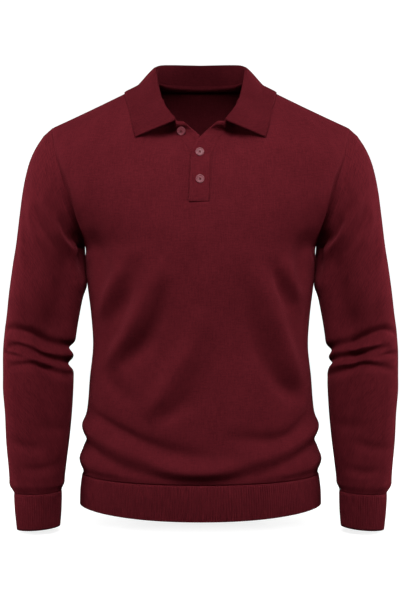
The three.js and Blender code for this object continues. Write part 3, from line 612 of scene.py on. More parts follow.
def knit_finish(name, wale=1.45, course=1.1, relief=0.35, runs=(0.7, 0.7), shade=1):
    """Stitches wale mm wide, course mm high, raised by relief mm. Runs weigh streaks of yarn along the
    courses and the columns, which on the sleeves also paint the shade of fine wrinkles. Shade scales both
    yarn colours down: painted shade on the collar.
    """
    f = Finish(name)
    place, across, up = f.knit_place()
    drift = f.sum("SUBTRACT", f.noise(place, STITCH["driftsPerMetre"]), 0.5)
    drift = f.sum("MULTIPLY", drift, STITCH["drift"] * MM)
    columns = f.sum("DIVIDE", f.sum("ADD", across, drift), wale * MM)
    leg = f.sum("ABSOLUTE", f.sum("SUBTRACT", f.sum("FRACT", columns), 0.5))
    rows = f.sum("ADD", f.sum("DIVIDE", up, course * MM), f.sum("MULTIPLY", leg, STITCH["lean"]))
    along = f.sum("ABSOLUTE", f.sum("SUBTRACT", f.sum("FRACT", rows), 0.5))
    # A leg is highest on its own middle line and at the middle of its length.
    middle = f.sum("ABSOLUTE", f.sum("SUBTRACT", leg, 0.25))
    flat = f.sum("MULTIPLY", f.sum("MULTIPLY", middle, middle), STITCH["plump"])
    taper = f.sum("SUBTRACT", 1.0, f.sum("MULTIPLY", along, STITCH["taper"]), clamp=True)
    yarn = f.sum("MULTIPLY", f.sum("SUBTRACT", 1.0, flat, clamp=True), taper)
    fuzz = f.noise(place, FUZZ["perMetre"], FUZZ["detail"], FUZZ["rough"])
    height = f.sum("ADD", yarn, f.sum("MULTIPLY", fuzz, FUZZ["height"]))
    # The tops of the stitches and the high fuzz are painted lighter and their hollows darker: painted shade,
    # added to the yarn's own uneven tone below.
    share = f.sum("MULTIPLY", fuzz, FUZZ["fuzzToneAndShade"])
    share = f.sum("ADD", f.sum("MULTIPLY", yarn, FUZZ["paintedStitchShade"]), share)
    for across_spots, up_spots, weight in uneven_yarn_and_painted_wrinkles(runs):
        stretched = {0: f.sum("MULTIPLY", across, across_spots), 1: f.sum("MULTIPLY", up, up_spots)}
        spots = f.noise(f.node("ShaderNodeCombineXYZ", stretched).outputs[0], 1)
        share = f.sum("ADD", share, f.sum("MULTIPLY", f.sum("SUBTRACT", spots, 0.5), weight))
    bump = f.node("ShaderNodeBump", {"Strength": BUMP_STRENGTH, "Distance": relief * MM, "Height": height})
    f.set(
        base_color=f.between(share, tint(YARN_DARK, shade), tint(YARN_LIGHT, shade)),
        roughness=f.sum("ADD", ROUGHNESS["yarn"], f.sum("MULTIPLY", fuzz, ROUGHNESS["fuzz"])),
        normal=bump.outputs[0],
        specular_ior_level=0.0,
        **SHEEN,
    )
    print(f"{name}: {10 / wale:.1f} columns and {10 / course:.1f} rows of stitches in a centimetre")
    return f.material


jersey = knit_finish("burgundy_jersey")
# The collar's yarn is the jersey's, painted 0.8 as bright: painted shade that tones down leaves facing up
# into the key light.
painted_shade_collar_knit = knit_finish("burgundy_collar", wale=1.3, course=1.0, relief=0.3, shade=0.8)
# The sleeves' stronger course streaks are painted shade of fine horizontal wrinkles, over the yarn's uneven
# tone.
sleeve_knit = knit_finish("burgundy_sleeve", runs=(1.5, 0.8))
rib_knit = knit_finish("burgundy_rib", wale=1.65, relief=0.4, runs=(0.5, 1.5))

# %% [markdown]
# ## Front and back
# The front is one cut piece: wide at the chest, hollowed at the armholes and the neck, and slit down its
# middle for the placket. Its columns run from the centre to the side seam and fan out over the
# shoulder, as the stitches of a shaped panel do. The back is the same without the slit.

# %% The panels' grid
COLUMNS, NECK_COLUMN, ROLL_ROWS, WAIST_ROWS, ARM_ROWS = 12, 5, 10, 7, 10
ROLL_TOP = -520
FINE = 6  # grid steps in each column and row of the solid's own division
NECK_CROWDING, FAN = 1.7, 3
PLACKET = dict(
    foot=-207, half=15, overlap=0.6, bend=-134, topX=50, bendCurve=1.1, kink=-131, spread=26.5,
    spreadCurve=1.5, lean=0.038, centre=1, wall=2, upperOut=(0.5, 2.8), underOut=(-0.4, -2.6),
)
ROW_COUNT = ROLL_ROWS + WAIST_ROWS + ARM_ROWS
ARMPIT_ROW = ROLL_ROWS + WAIST_ROWS
FOOT_ROW = ARMPIT_ROW + 3


def row_shares():
    """Each row's share of the side's height. The rows lie closer over the band and at the armhole's ends."""
    low, top = BAND["sideTop"], SHOULDER["tipZ"]
    heights = [mix(low, ROLL_TOP, i / ROLL_ROWS) for i in range(ROLL_ROWS)]
    heights += [mix(ROLL_TOP, ARMPIT["z"], i / WAIST_ROWS) for i in range(WAIST_ROWS)]
    turns = (math.pi * i / ARM_ROWS for i in range(ARM_ROWS + 1))
    heights += [mix(ARMPIT["z"], top, (1 - math.cos(turn)) / 2) for turn in turns]
    return np.array([(z - low) / (top - low) for z in heights])


ROWS = row_shares()


def share_of_row(row):
    return np.interp(row, np.arange(ROW_COUNT + 1), ROWS)


print("rows of the panels:", ROW_COUNT, "and columns:", 2 * COLUMNS)

# %% [markdown]
# A panel is bounded by the neck, the band's seam, the armholes and, in front, the slit for the placket.

# %% Edges of the panels


def neck_height(face, x):
    """The height of the neck seam: a half ellipse with a level foot in front, nearly level behind."""
    c = np.clip(np.abs(x) / SHOULDER["neckX"], 0, 1)
    if face == "front":
        return -np.minimum(NECK["frontDrop"] * np.sqrt(1 - c * c), NECK["frontFloor"])
    return -NECK["backDrop"] * (1 - c ** NECK["backCurve"])


SLOT_TOP_Z = float(neck_height("front", PLACKET["topX"]))


def slot_edge(z):
    """Half the width of the slit that the placket fills."""
    t = clamp((z - PLACKET["bend"]) / (SLOT_TOP_Z - PLACKET["bend"]))
    return PLACKET["half"] + (PLACKET["topX"] - PLACKET["half"]) * t ** PLACKET["bendCurve"]


def placket_centre(z):
    """The placket leans a little, and is centred again at the neck."""
    below = np.clip(z, PLACKET["foot"], PLACKET["kink"]) - PLACKET["kink"]
    back = ease((z - PLACKET["kink"]) / (SLOT_TOP_Z - PLACKET["kink"]))
    return (PLACKET["centre"] + PLACKET["lean"] * below) * (1 - back)


def band_top(face, x):
    """The height of the band's seam, which sags a little from the sides to the middle."""
    across = np.minimum(1, (x / half_width(BAND["sideTop"])) ** 2)
    return BAND["sideTop"] - BAND_SAG[face + "Top"] * (1 - across)


FRONT_BASE = float(band_top("front", 0))
print(f"slit from {PLACKET['foot']} mm up to {SLOT_TOP_Z:.1f} mm")

# %% [markdown]
# Between these edges the grid is spread smoothly. Low down the columns lie as on a rounded section, and
# near the shoulder they fan out, evenly along the seam.

# %% Places in a panel


def foot_rows(share):
    """Shifts the front's rows near the centre, so that one runs along the placket's foot."""
    foot = ROWS[FOOT_ROW]
    level = (PLACKET["foot"] - FRONT_BASE) / (SLOT_TOP_Z - FRONT_BASE)
    return np.where(share < foot, share * level / foot, 1 - (1 - share) * (1 - level) / (1 - foot))


def panel_place(face, column, row):
    """The x and z of a place in a panel's grid. Columns left of the centre are below 0."""
    side, column = np.sign(column), np.abs(column)
    front = face == "front"
    first = 1 if front else 0
    share = share_of_row(row)
    u = clamp((column - first) / (COLUMNS - first))
    start_x, start_z = (PLACKET["topX"], SLOT_TOP_Z) if front else (0, -NECK["backDrop"])
    beyond = clamp((column - NECK_COLUMN) / (COLUMNS - NECK_COLUMN))
    shoulder_x = mix(SHOULDER["neckX"], SHOULDER["tipX"], beyond)
    inner = clamp((column - first) / (NECK_COLUMN - first))
    full = math.acos(PLACKET["topX"] / SHOULDER["neckX"]) if front else math.pi / 2
    angle = full * (1 - inner) ** (NECK_CROWDING if front else 1)
    neck_x = SHOULDER["neckX"] * np.cos(angle)
    top_x = np.where(column > NECK_COLUMN, shoulder_x, neck_x)
    top_z = np.where(column > NECK_COLUMN, ridge(shoulder_x), neck_height(face, neck_x))
    low = np.sin(math.pi / 2 * u)
    high = (top_x - start_x) / (SHOULDER["tipX"] - start_x)
    spread = mix(low, high, clamp(share * 2 - 1) ** FAN)
    inner_x = PLACKET["half"] if front else 0
    base_z = band_top(face, mix(inner_x, edge_x(BAND["sideTop"]), low))
    if not front:
        z = mix(base_z, top_z, share)
        return side * edge_x(z) * spread, z
    z = mix(base_z, top_z, mix(foot_rows(share), share, high))
    inner_z = mix(FRONT_BASE, SLOT_TOP_Z, foot_rows(share))
    centre = placket_centre(inner_z) * (1 - spread)
    x = side * mix(slot_edge(inner_z), edge_x(z), spread) + centre
    return np.where(column < 1, mix(centre, x, column), x), z


# %% [markdown]
# The creases follow how the garment hangs. Soft folds drop from the armpits towards the waist, the
# waist is drawn in above the band, and the slack above the band lies in long shallow tucks. Beside each
# armhole the chest folds over a little where the arm hangs down.

# %% Creases of the front and back: x, z, height, reach
FRONT_CREASES = [
    # long tuck that sags from the wearer's right side, and its partner on the left
    [(-184, -528, 0, 8), (-150, -547, -3.2, 8), (-100, -571, -4, 9), (-40, -590, -3, 10), (24, -598, 0, 11)],
    [(24, -562, 0, 10), (70, -570, -2.2, 10), (118, -572, -3.2, 9), (150, -560, -3.4, 9), (182, -522, 0, 8)],
    # the roll over the band fills up in the middle
    [(-84, -610, 0, 9), (-28, -619, 4, 9), (22, -619, 4, 9), (76, -612, 0, 9)],
    # folds that drop from the armpits
    [(-118, -288, 0, 8), (-131, -326, 4.5, 8), (-144, -358, 4.5, 8), (-158, -388, 0, 8)],
    [(-64, -290, 0, 10), (-87, -362, 5.5, 10), (-107, -404, 7, 10), (-131, -441, 5, 9), (-139, -466, 0, 8)],
    [(0, -366, 0, 12), (-17, -431, 4.5, 13), (-41, -468, 6, 13), (-61, -506, 5.5, 12), (-88, -538, 0, 10)],
    [(90, -300, 0, 10), (108, -364, 5.5, 11), (123, -412, 7, 11), (140, -456, 6, 10), (156, -492, 0, 8)],
    [(128, -288, 0, 8), (140, -324, 4.5, 8), (150, -362, 0, 8)],
    # hollows between them
    [(-98, -288, 0, 10), (-119, -360, -4.5, 9), (-143, -404, 0, 8)],
    [(-52, -318, 0, 10), (-73, -390, -4.5, 10), (-93, -432, -5.5, 10), (-124, -464, 0, 8)],
    [(16, -396, 0, 12), (-12, -486, -4, 12), (-30, -518, -4.5, 11), (-66, -548, 0, 8)],
    [(108, -288, 0, 9), (126, -338, -5, 8), (145, -382, 0, 8)],
    [(66, -310, 0, 12), (86, -420, -4, 12), (112, -470, -5.5, 12), (138, -501, -6, 10), (164, -516, 0, 8)],
    [(-158, -466, 0, 8), (-130, -496, -2.6, 9), (-98, -522, 0, 9)],
    # the chest folds over beside the armholes
    [(-224, -130, 0, 7), (-206, -158, 3, 7), (-193, -194, 4.5, 8), (-190, -226, 4, 8), (-184, -250, 3, 8),
     (-178, -274, 1.5, 8), (-172, -310, 0, 8)],
    [(-172, -246, 0, 9), (-160, -280, -4, 10), (-157, -312, -3.5, 10), (-154, -342, 0, 9)],
    [(224, -130, 0, 7), (205, -160, 3, 7), (194, -198, 4.5, 8), (189, -230, 4, 8), (183, -254, 3, 8),
     (177, -276, 1.5, 8), (172, -308, 0, 8)],
    [(171, -248, 0, 9), (160, -282, -4, 10), (158, -316, -3.5, 10), (156, -344, 0, 9)],
]
BACK_CREASES = [
    [(-182, -526, 0, 7), (-120, -556, -5.5, 9), (-40, -574, -5, 10), (44, -576, 0, 10)],
    [(58, -562, 0, 9), (110, -552, -4, 9), (150, -540, -4.5, 9), (182, -516, 0, 8)],
    [(-120, -258, 0, 12), (-96, -330, 4.5, 14), (-72, -392, 3.5, 13), (-58, -440, 0, 12)],
    [(114, -256, 0, 12), (90, -338, 4.5, 14), (68, -396, 3.5, 13), (50, -446, 0, 12)],
    [(-88, -298, 0, 12), (-54, -372, -3.5, 13), (-18, -456, 0, 12)],
    [(90, -318, 0, 12), (62, -390, -3.5, 13), (24, -474, 0, 12)],
    [(-64, -428, 0, 12), (-10, -452, -4, 13), (40, -460, -3.5, 12), (72, -448, 0, 10)],
    [(-150, -300, 0, 8), (-156, -350, 3.5, 9), (-152, -420, 0, 8)],
    [(150, -306, 0, 8), (158, -362, 3.5, 9), (150, -430, 0, 8)],
    [(-224, -126, 0, 6), (-200, -190, 3, 7), (-186, -262, 2.5, 8), (-176, -310, 0, 8)],
    [(224, -126, 0, 6), (200, -190, 3, 7), (186, -258, 2.5, 8), (176, -314, 0, 8)],
]
# Folds of fine knit are fuller than their lines say, by these factors of height and reach.
BODY_FOLDS = dict(deeper=2.2, wider=1.3)
FOLD_END = 30

# %% [markdown]
# Three more forms belong to the sewing. The cloth sinks a little into every seam. The armhole lies in a
# soft groove, which starts below the shoulder and deepens towards the armpit. And under the front ends
# of the collar the chest is hollow, as nothing fills it there.

# %% Seams, the armhole's groove and the hollow under the collar
SEAM_DIP = dict(height=-0.7, reach=2.2)
GROOVE = dict(height=-5, top=-100, full=-225, fade=14, bodyReach=9, sleeveReach=17)
LEAF_HOLLOW = [
    [(8, -96, 0, 9), (26, -95, -11, 10), (44, -97, -12, 10), (64, -104, -8, 9), (80, -110, -5, 8),
     (98, -115, 0, 8)],
    [(12, -106, 0, 20), (34, -108, -5, 24), (56, -112, -6, 22), (80, -118, -3, 16), (100, -120, 0, 14)],
]
HOLLOW_START = 12


def seam_dip(distance):
    return SEAM_DIP["height"] * bell(distance, SEAM_DIP["reach"])


def groove(z):
    deepens = ease((GROOVE["top"] - z) / (GROOVE["top"] - GROOVE["full"]))
    return GROOVE["height"] * deepens * ease((z - ARMPIT["z"]) / GROOVE["fade"])


def leaf_hollow(x, z):
    below_neck = (neck_height("front", x) - z) / HOLLOW_START
    return creased(LEAF_HOLLOW, np.abs(x), z) * ease(below_neck)


# %% Cloth of the front and back


def panel(face, creases):
    cols = np.arange(-COLUMNS * FINE, COLUMNS * FINE + 1) / FINE
    rows = np.arange(ROW_COUNT * FINE + 1) / FINE
    column, row = np.meshgrid(cols, rows)
    x, z = panel_place(face, column, row)
    # Folds end before the side seams, so that the pieces still meet there.
    lift = creased(creases, x, z, **BODY_FOLDS) * (1 - (np.abs(x) / edge_x(z)) ** FOLD_END)
    lift = lift + seam_dip(edge_x(z) - np.abs(x)) + seam_dip(z - band_top(face, x))
    lift = lift + np.where(np.abs(x) > SHOULDER["neckX"], seam_dip(ridge(x) - z), 0)
    if face == "front":
        lift = lift + leaf_hollow(x, z)
    lift = lift + groove(z) * bell(edge_x(z) - np.abs(x), GROOVE["bodyReach"])
    points = on_body(face, x, z, lift)
    middle = COLUMNS * FINE
    across = run_length(points, 1)
    knit = np.stack([across - across[:, middle:middle + 1], z - BAND["sideTop"]], axis=-1)
    keep = None
    if face == "front":
        above_foot = rows[:-1] >= FOOT_ROW
        in_slot = np.abs((cols[:-1] + cols[1:]) / 2) < 1
        keep = ~(above_foot[:, None] & in_slot[None, :])
    return mesh_of(face + "_cloth", points, knit, keep=keep, flip=face == "back")


front = panel("front", FRONT_CREASES)
back = panel("back", BACK_CREASES)
for cloth, node in ((front, "front_panel"), (back, "back_panel")):
    give_wall(cloth, WALL)
    hand_in(cloth, jersey, "knit", node)

# %% [markdown]
# ## Sleeves
# A sleeve starts at the armhole seam, point for point where the panels end, and runs down in rings. A
# table gives each ring's inner and outer edge and its reach forwards and back: the arm hangs down, a
# little bent at the elbow, and the cloth gathers there and again above the cuff.

# %% The sleeves' rings
SLEEVE = table(
    "innerX innerZ outerX outerZ front back",
    (187.1, -270, 253, -91, -65, 66), (187.0, -273, 265, -109, -67, 68),
    (186.8, -277, 275, -130, -68, 70), (186.6, -282, 282, -154, -68, 70.5),
    (186.2, -289, 287.5, -182, -67, 70), (185.8, -299, 292, -215, -65, 69),
    (184.9, -313, 297, -255, -62, 67.5), (183.9, -332, 302.5, -300, -60, 66),
    (190.6, -353, 307.5, -340, -59, 64), (196, -380, 311, -373, -58.5, 61.5),
    (198.3, -393, 313, -389, -59, 60), (200, -404, 314.5, -400, -59.5, 59),
    (201.4, -414, 315.3, -410, -60, 58), (202.4, -424, 315.8, -419, -60.5, 57),
    (203.2, -433, 316.2, -428, -61, 56), (203.9, -442, 316.5, -437, -61.5, 55),
    (204.2, -451, 316.5, -446, -62, 54), (204.5, -460, 316.4, -455, -62.5, 53),
    (204.6, -470, 316.2, -465, -63, 52), (204.8, -482, 316, -478, -63.5, 50.5),
    (205.4, -505, 315.6, -502, -64.5, 47.5), (207.2, -540, 312, -538, -66, 42),
    (210.5, -578, 310, -577, -67, 35), (214.4, -612, 307.4, -612, -68, 28),
    (217, -638, 305.4, -639, -69, 21), (217.6, -648, 304.4, -650, -69.5, 17),
    (220.6, -655, 299.4, -658, -67.5, 10), (221.8, -659, 296.6, -662, -66.5, 7),
)
CUFF_RINGS = table(
    "innerX innerZ outerX outerZ front back",
    (221.9, -659.5, 296.4, -662.5, -66.3, 6.8), (223.6, -714, 290.5, -719, -70, -5),
)
for rings in (SLEEVE, CUFF_RINGS):
    rings["row"] = np.arange(len(rings["front"]), dtype=float)
SLEEVE_ROWS = len(SLEEVE["row"])
SETTLED_ROW, ARMHOLE_PULL, ARM_RADIUS = 6, 0.35, 58
print("rings of a sleeve:", SLEEVE_ROWS)

# %% [markdown]
# The creases of a sleeve are placed by how far round from the outer edge they lie, forwards above 0 and
# backwards below 0, and by their height.

# %% Creases of the sleeves: distance round, z, height, reach
RIGHT_SLEEVE_CREASES = [
    # the sleeve hangs flatter on the side that faces the body
    [(122, -250, 0, 28), (126, -300, -9, 30), (126, -360, -9, 30), (116, -430, -6, 32), (110, -560, -5, 32),
     (110, -636, 0, 26)],
    [(44, -262, 0, 30), (46, -326, 2.5, 34), (42, -560, 2.5, 32), (40, -636, 0, 26)],
    # the upper arm's cloth leans in towards the elbow
    [(6, -388, 0, 22), (60, -396, -4, 24), (120, -402, -4.5, 24), (176, -404, 0, 22)],
    # the bend of the arm
    [(10, -404, 0, 5), (45, -402, -6, 6.5), (78, -410, -9, 8), (121, -424, -8, 8), (172, -431, -6, 7),
     (214, -436, -5, 7), (262, -424, 0, 8)],
    [(78, -411, 0, 4), (97, -425, -3.5, 5), (120, -434, -3.5, 5), (166, -434, 0, 5)],
    [(38, -410, 0, 4), (65, -417, -3, 4), (86, -426, 0, 4)],
    [(84, -426, 0, 5), (108, -436, 3.5, 5.5), (140, -440, 0, 5)],
    [(34, -434, 0, 5), (54, -428, -5, 5.5), (78, -434, -8, 7), (128, -450, -7.5, 7), (176, -457, -6, 7),
     (224, -462, -4.5, 7), (268, -450, 0, 8)],
    [(14, -440, 0, 4), (54, -444, -3, 4), (84, -449, 0, 4)],
    [(80, -444, 0, 5), (108, -454, 3.5, 5.5), (140, -461, 0, 5)],
    [(40, -462, 0, 5), (80, -457, -5, 6), (108, -463, -5.5, 6.5), (154, -475, -4, 7), (190, -478, 0, 7)],
    # round the back of the elbow
    [(-150, -404, 0, 7), (-104, -396, -4.5, 8), (-60, -398, -5, 8), (-18, -408, 0, 7)],
    [(-134, -442, 0, 7), (-90, -430, -4.5, 8), (-40, -426, 0, 7)],
    [(-120, -420, 0, 8), (-80, -413, 4, 9), (-30, -414, 0, 8)],
    # the valley beside the armpit, where the arm leaves the body
    [(90, -140, 0, 8), (100, -194, -2.5, 9), (112, -222, -4.5, 9), (123, -246, -7, 9), (138, -258, -6, 9),
     (158, -270, 0, 9)],
    [(148, -246, 0, 9), (162, -258, -5, 9), (169, -272, -6, 8), (168, -294, -4, 8), (166, -322, 0, 8)],
    # drag lines from the armpit
    [(92, -170, 0, 6), (103, -202, 2.8, 6), (119, -224, 3.2, 6), (150, -252, 0, 7)],
    [(70, -182, 0, 6), (81, -212, 2.5, 6), (103, -238, 3.2, 6.5), (131, -265, 2.5, 7), (158, -288, 0, 7)],
    [(48, -196, 0, 7), (58, -228, 2.5, 7), (75, -255, 2.5, 7), (94, -276, 0, 7)],
    [(30, -232, 0, 7), (44, -271, 2.2, 7), (60, -310, 0, 7)],
    [(84, -186, 0, 5), (96, -222, -3.2, 6), (122, -250, -3, 6), (150, -274, 0, 6)],
    [(62, -205, 0, 5), (72, -236, -3, 6), (92, -262, -2.5, 6), (112, -284, 0, 6)],
    [(-60, -150, 0, 8), (-84, -210, 3, 8), (-128, -262, 0, 8)],
    [(-84, -168, 0, 8), (-106, -226, -3, 8), (-140, -270, 0, 8)],
    # slack above the cuff
    [(20, -572, 0, 7), (70, -586, -2.6, 7), (124, -590, 0, 7)],
    [(56, -618, 0, 6), (104, -622, -2.6, 6), (166, -612, 0, 7)],
    [(90, -545, 0, 8), (130, -560, -2, 8), (170, -556, 0, 8)],
    [(-140, -600, 0, 8), (-80, -612, -3, 8), (-20, -604, 0, 8)],
]
LEFT_SLEEVE_CREASES = [
    [(122, -252, 0, 28), (126, -304, -9, 30), (125, -366, -9, 30), (115, -436, -6, 32), (109, -566, -5, 32),
     (110, -636, 0, 26)],
    [(42, -262, 0, 30), (46, -330, 2.5, 34), (40, -552, 2.5, 32), (40, -636, 0, 26)],
    [(10, -390, 0, 22), (64, -394, -4, 24), (116, -400, -4.5, 24), (170, -406, 0, 22)],
    [(14, -412, 0, 5), (46, -403, -6, 6), (68, -408, -8.5, 7.5), (114, -423, -8, 8), (150, -429, -5, 7),
     (206, -440, -5, 7), (258, -426, 0, 8)],
    [(58, -417, 0, 4), (80, -424, -3, 4), (96, -428, 0, 4)],
    [(140, -429, 0, 5), (112, -434, 3.5, 5.5), (84, -427, 3.5, 5.5), (52, -430, 0, 5)],
    [(46, -430, 0, 5), (72, -433, -7, 6.5), (98, -441, -8.5, 7.5), (122, -446, -8, 7.5), (160, -450, -6, 7),
     (220, -464, -4.5, 7), (262, -452, 0, 8)],
    [(18, -441, 0, 4), (50, -442, -3.5, 4), (84, -449, 0, 4)],
    [(160, -457, 0, 5), (122, -455, 3.5, 5.5), (96, -450, 3, 5.5), (58, -457, 0, 5)],
    [(36, -470, 0, 5), (70, -460, -4, 6), (96, -458, -5.5, 6.5), (124, -465, -5, 6.5), (166, -474, -3.5, 7),
     (196, -476, 0, 7)],
    [(-156, -408, 0, 7), (-100, -398, -5, 8), (-58, -400, -4.5, 8), (-20, -412, 0, 7)],
    [(-128, -438, 0, 7), (-86, -432, -4.5, 8), (-34, -430, 0, 7)],
    [(-124, -420, 0, 8), (-76, -415, 4, 9), (-28, -418, 0, 8)],
    # the valley beside the armpit
    [(88, -144, 0, 8), (100, -194, -2.5, 9), (112, -222, -4.5, 9), (122, -247, -7, 9), (139, -259, -6, 9),
     (158, -271, 0, 9)],
    [(148, -248, 0, 9), (161, -259, -5, 9), (169, -274, -6, 8), (168, -296, -4, 8), (166, -326, 0, 8)],
    [(90, -166, 0, 6), (102, -198, 2.8, 6), (120, -226, 3.2, 6), (150, -256, 0, 7)],
    [(66, -178, 0, 6), (80, -214, 2.6, 6), (104, -242, 3.2, 6.5), (132, -268, 2.5, 7), (158, -292, 0, 7)],
    [(46, -200, 0, 7), (58, -232, 2.4, 7), (76, -260, 2.6, 7), (98, -282, 0, 7)],
    [(28, -240, 0, 7), (42, -278, 2.2, 7), (58, -316, 0, 7)],
    [(82, -184, 0, 5), (95, -220, -3.2, 6), (120, -250, -3, 6), (148, -276, 0, 6)],
    [(60, -210, 0, 5), (70, -240, -3, 6), (90, -266, -2.5, 6), (112, -290, 0, 6)],
    [(-64, -146, 0, 8), (-88, -206, 3, 8), (-130, -264, 0, 8)],
    [(-88, -166, 0, 8), (-108, -228, -3, 8), (-142, -272, 0, 8)],
    [(26, -592, 0, 7), (80, -588, -2.6, 7), (132, -578, 0, 7)],
    [(48, -622, 0, 6), (100, -626, -2.6, 6), (156, -618, 0, 7)],
    [(84, -548, 0, 8), (128, -556, -2, 8), (172, -548, 0, 8)],
    [(-136, -596, 0, 8), (-76, -610, -3, 8), (-18, -602, 0, 8)],
]
SLEEVE_FOLDS = dict(deeper=1.6, wider=1.1)
# The folds set in over the first rows below the armhole and end over the last rows above the cuff.
FOLD_ROWS = dict(start=2, end=3)
SLEEVE_FINE = dict(round=8, down=7)  # grid steps in each part of the solid's own division

# %% [markdown]
# The cloth starts on the armhole's seam itself and eases into the rings below it, so no gap can open there.

# %% Rings and the armhole's seam


def section_point(rows, key, angle, out=0):
    """A point of a sleeve or cuff ring. Angle 0 is its outer edge, and it runs forwards."""
    inner_x, inner_z, outer_x, outer_z, front_y, back_y = (
        read(rows, "row", name, key)
        for name in ("innerX", "innerZ", "outerX", "outerZ", "front", "back")
    )
    middle = (front_y + back_y) / 2
    c, f = np.cos(angle), np.sin(angle)
    reach = np.where(f > 0, middle - front_y, back_y - middle)
    dx, dz = (outer_x - inner_x) / 2, (outer_z - inner_z) / 2
    stretch = 1 + out / np.hypot(dx, dz)
    return np.stack([
        (outer_x + inner_x) / 2 + c * dx * stretch,
        middle - f * (reach + out),
        (outer_z + inner_z) / 2 + c * dz * stretch,
    ], axis=-1)


def armhole_points(side, round_share):
    """The armhole seam, from its top forwards and down to the armpit, then up the back."""
    k = round_share * 2 * ARM_ROWS
    in_front = k <= ARM_ROWS
    front_x, front_z = panel_place("front", side * COLUMNS + 0 * k, np.clip(ROW_COUNT - k, 0, ROW_COUNT))
    back_row = np.clip(ARMPIT_ROW + k - ARM_ROWS, 0, ROW_COUNT)
    back_x, back_z = panel_place("back", side * COLUMNS + 0 * k, back_row)
    # The cloth dips into this seam on both sides of it, by the same amount.
    front_points = on_body("front", front_x, front_z, seam_dip(0) + groove(front_z))
    back_points = on_body("back", back_x, back_z, seam_dip(0) + groove(back_z))
    return np.where(in_front[..., None], front_points, back_points)


def grid_normals(points, closed):
    """The direction square to a grid of points, at each point."""
    if closed:
        across = np.roll(points, -1, axis=1) - np.roll(points, 1, axis=1)
    else:
        across = np.gradient(points, axis=1)
    normal = np.cross(across, np.gradient(points, axis=0))
    return normal / np.maximum(np.linalg.norm(normal, axis=-1, keepdims=True), 1e-9)


# %% Cloth of the sleeves


def sleeve(side, creases):
    round_steps, down_steps = 2 * ARM_ROWS * SLEEVE_FINE["round"], SLEEVE_ROWS * SLEEVE_FINE["down"]
    share = np.arange(round_steps) / round_steps
    row = np.arange(down_steps + 1) / down_steps * SLEEVE_ROWS
    angle, down = np.meshgrid(2 * math.pi * share, row)
    start = armhole_points(side, share)
    start_x = np.abs(start[:, 0])
    ring = section_point(SLEEVE, np.maximum(down - 1, 0), angle)
    settled = ease(down / SETTLED_ROW)
    ring[..., 0] += ARMHOLE_BOW * np.sin(angle) ** 2 * (1 - settled)
    ring[..., 1] = mix(start[:, 1], ring[..., 1], mix(ARMHOLE_PULL, 1, settled))
    origin = np.stack([start_x, start[:, 1], start[:, 2]], axis=-1)
    points = mix(origin[None], ring, clamp(down)[..., None])
    around = np.where(angle > math.pi, angle - 2 * math.pi, angle) * ARM_RADIUS
    # A crease may run on past the inner edge, so it counts from both sides of it.
    full = 2 * math.pi * ARM_RADIUS
    height = points[..., 2]
    lift = sum(creased(creases, around + turn, height, **SLEEVE_FOLDS) for turn in (0, full, -full))
    lift = lift * clamp(down / FOLD_ROWS["start"]) * ease((SLEEVE_ROWS - down) / FOLD_ROWS["end"])
    away = np.linalg.norm(points - origin[None], axis=-1)
    lift = lift + seam_dip(away) * clamp(down * 2)
    lift = lift + groove(origin[None, :, 2]) * bell(away, GROOVE["sleeveReach"]) * clamp(down)
    points += grid_normals(points, True) * lift[..., None]
    points[..., 0] *= side
    knit = np.stack([angle * ARM_RADIUS, -run_length(points, 0)], axis=-1)
    name = "sleeve_left_cloth" if side > 0 else "sleeve_right_cloth"
    return mesh_of(name, points, knit, flip=side < 0, close_across=True)


sleeve_left = sleeve(1, LEFT_SLEEVE_CREASES)
sleeve_right = sleeve(-1, RIGHT_SLEEVE_CREASES)
for cloth, node in ((sleeve_left, "sleeve_left"), (sleeve_right, "sleeve_right")):
    give_wall(cloth, WALL)
    hand_in(cloth, sleeve_knit, "knit", node)

# %% [markdown]
# ## Hem band and cuffs
# Ribbing alternates knit and purl columns, so it springs in and holds the cloth. The ribs are real
# shape here: a rounded wave runs round the tube, full on its outer side and none inside. The wall's
# section is a closed line, down the outside, round the turned hem and up the inside.

# %% A tool for ribbed tubes
RIB = dict(steps=8, rows=14, turnSteps=6, roundness=0.7, swell=0.8, sink=0.4, sinkReach=2.4)


def rib_wave(angle, ribs):
    """1 on a rib and 0 between two, with rounded ribs and narrow valleys."""
    return np.abs(np.cos(angle * ribs / 2)) ** RIB["roundness"]


def ribbed(name, ring_at, sizes):
    """A closed ribbed tube. ring_at(share down, angle, out) gives its points."""
    ribs, wall, height = sizes["ribs"], sizes["wall"], sizes["height"]
    outer = np.linspace(0, 1, RIB["rows"] + 1)
    inner = outer[::-2]
    turn = np.linspace(0, math.pi, RIB["turnSteps"] + 1)[1:-1]
    half = wall / 2
    share = np.concatenate([outer, 1 + np.sin(turn) * half / height, inner])
    out = np.concatenate([0 * outer, -half + half * np.cos(turn), 0 * inner - wall])
    raised = np.concatenate([0 * outer + 1, (1 + np.cos(turn)) / 2, 0 * inner])
    # The rib sinks at its seam and swells a little over its height.
    swell = RIB["swell"] * np.sin(math.pi * np.minimum(share, 1))
    swell = swell - RIB["sink"] * bell(share * height, RIB["sinkReach"])
    angle = 2 * math.pi * np.arange(ribs * RIB["steps"]) / (ribs * RIB["steps"])
    angles, shares = np.meshgrid(angle, share)
    wave = rib_wave(angles, ribs) * raised[:, None] * sizes["ribHeight"]
    points = ring_at(shares, angles, wave + (out + swell)[:, None])
    down = np.concatenate([outer * height, height + turn * half, height + (2 - inner) * height])
    girth = np.linalg.norm(np.diff(points[0], axis=0), axis=-1).sum()
    knit = np.stack([angles / (2 * math.pi) * girth, -down[:, None] + 0 * angles], axis=-1)
    return mesh_of(name, points, knit, flip=True, close_across=True, close_along=True)


# %% Hem band


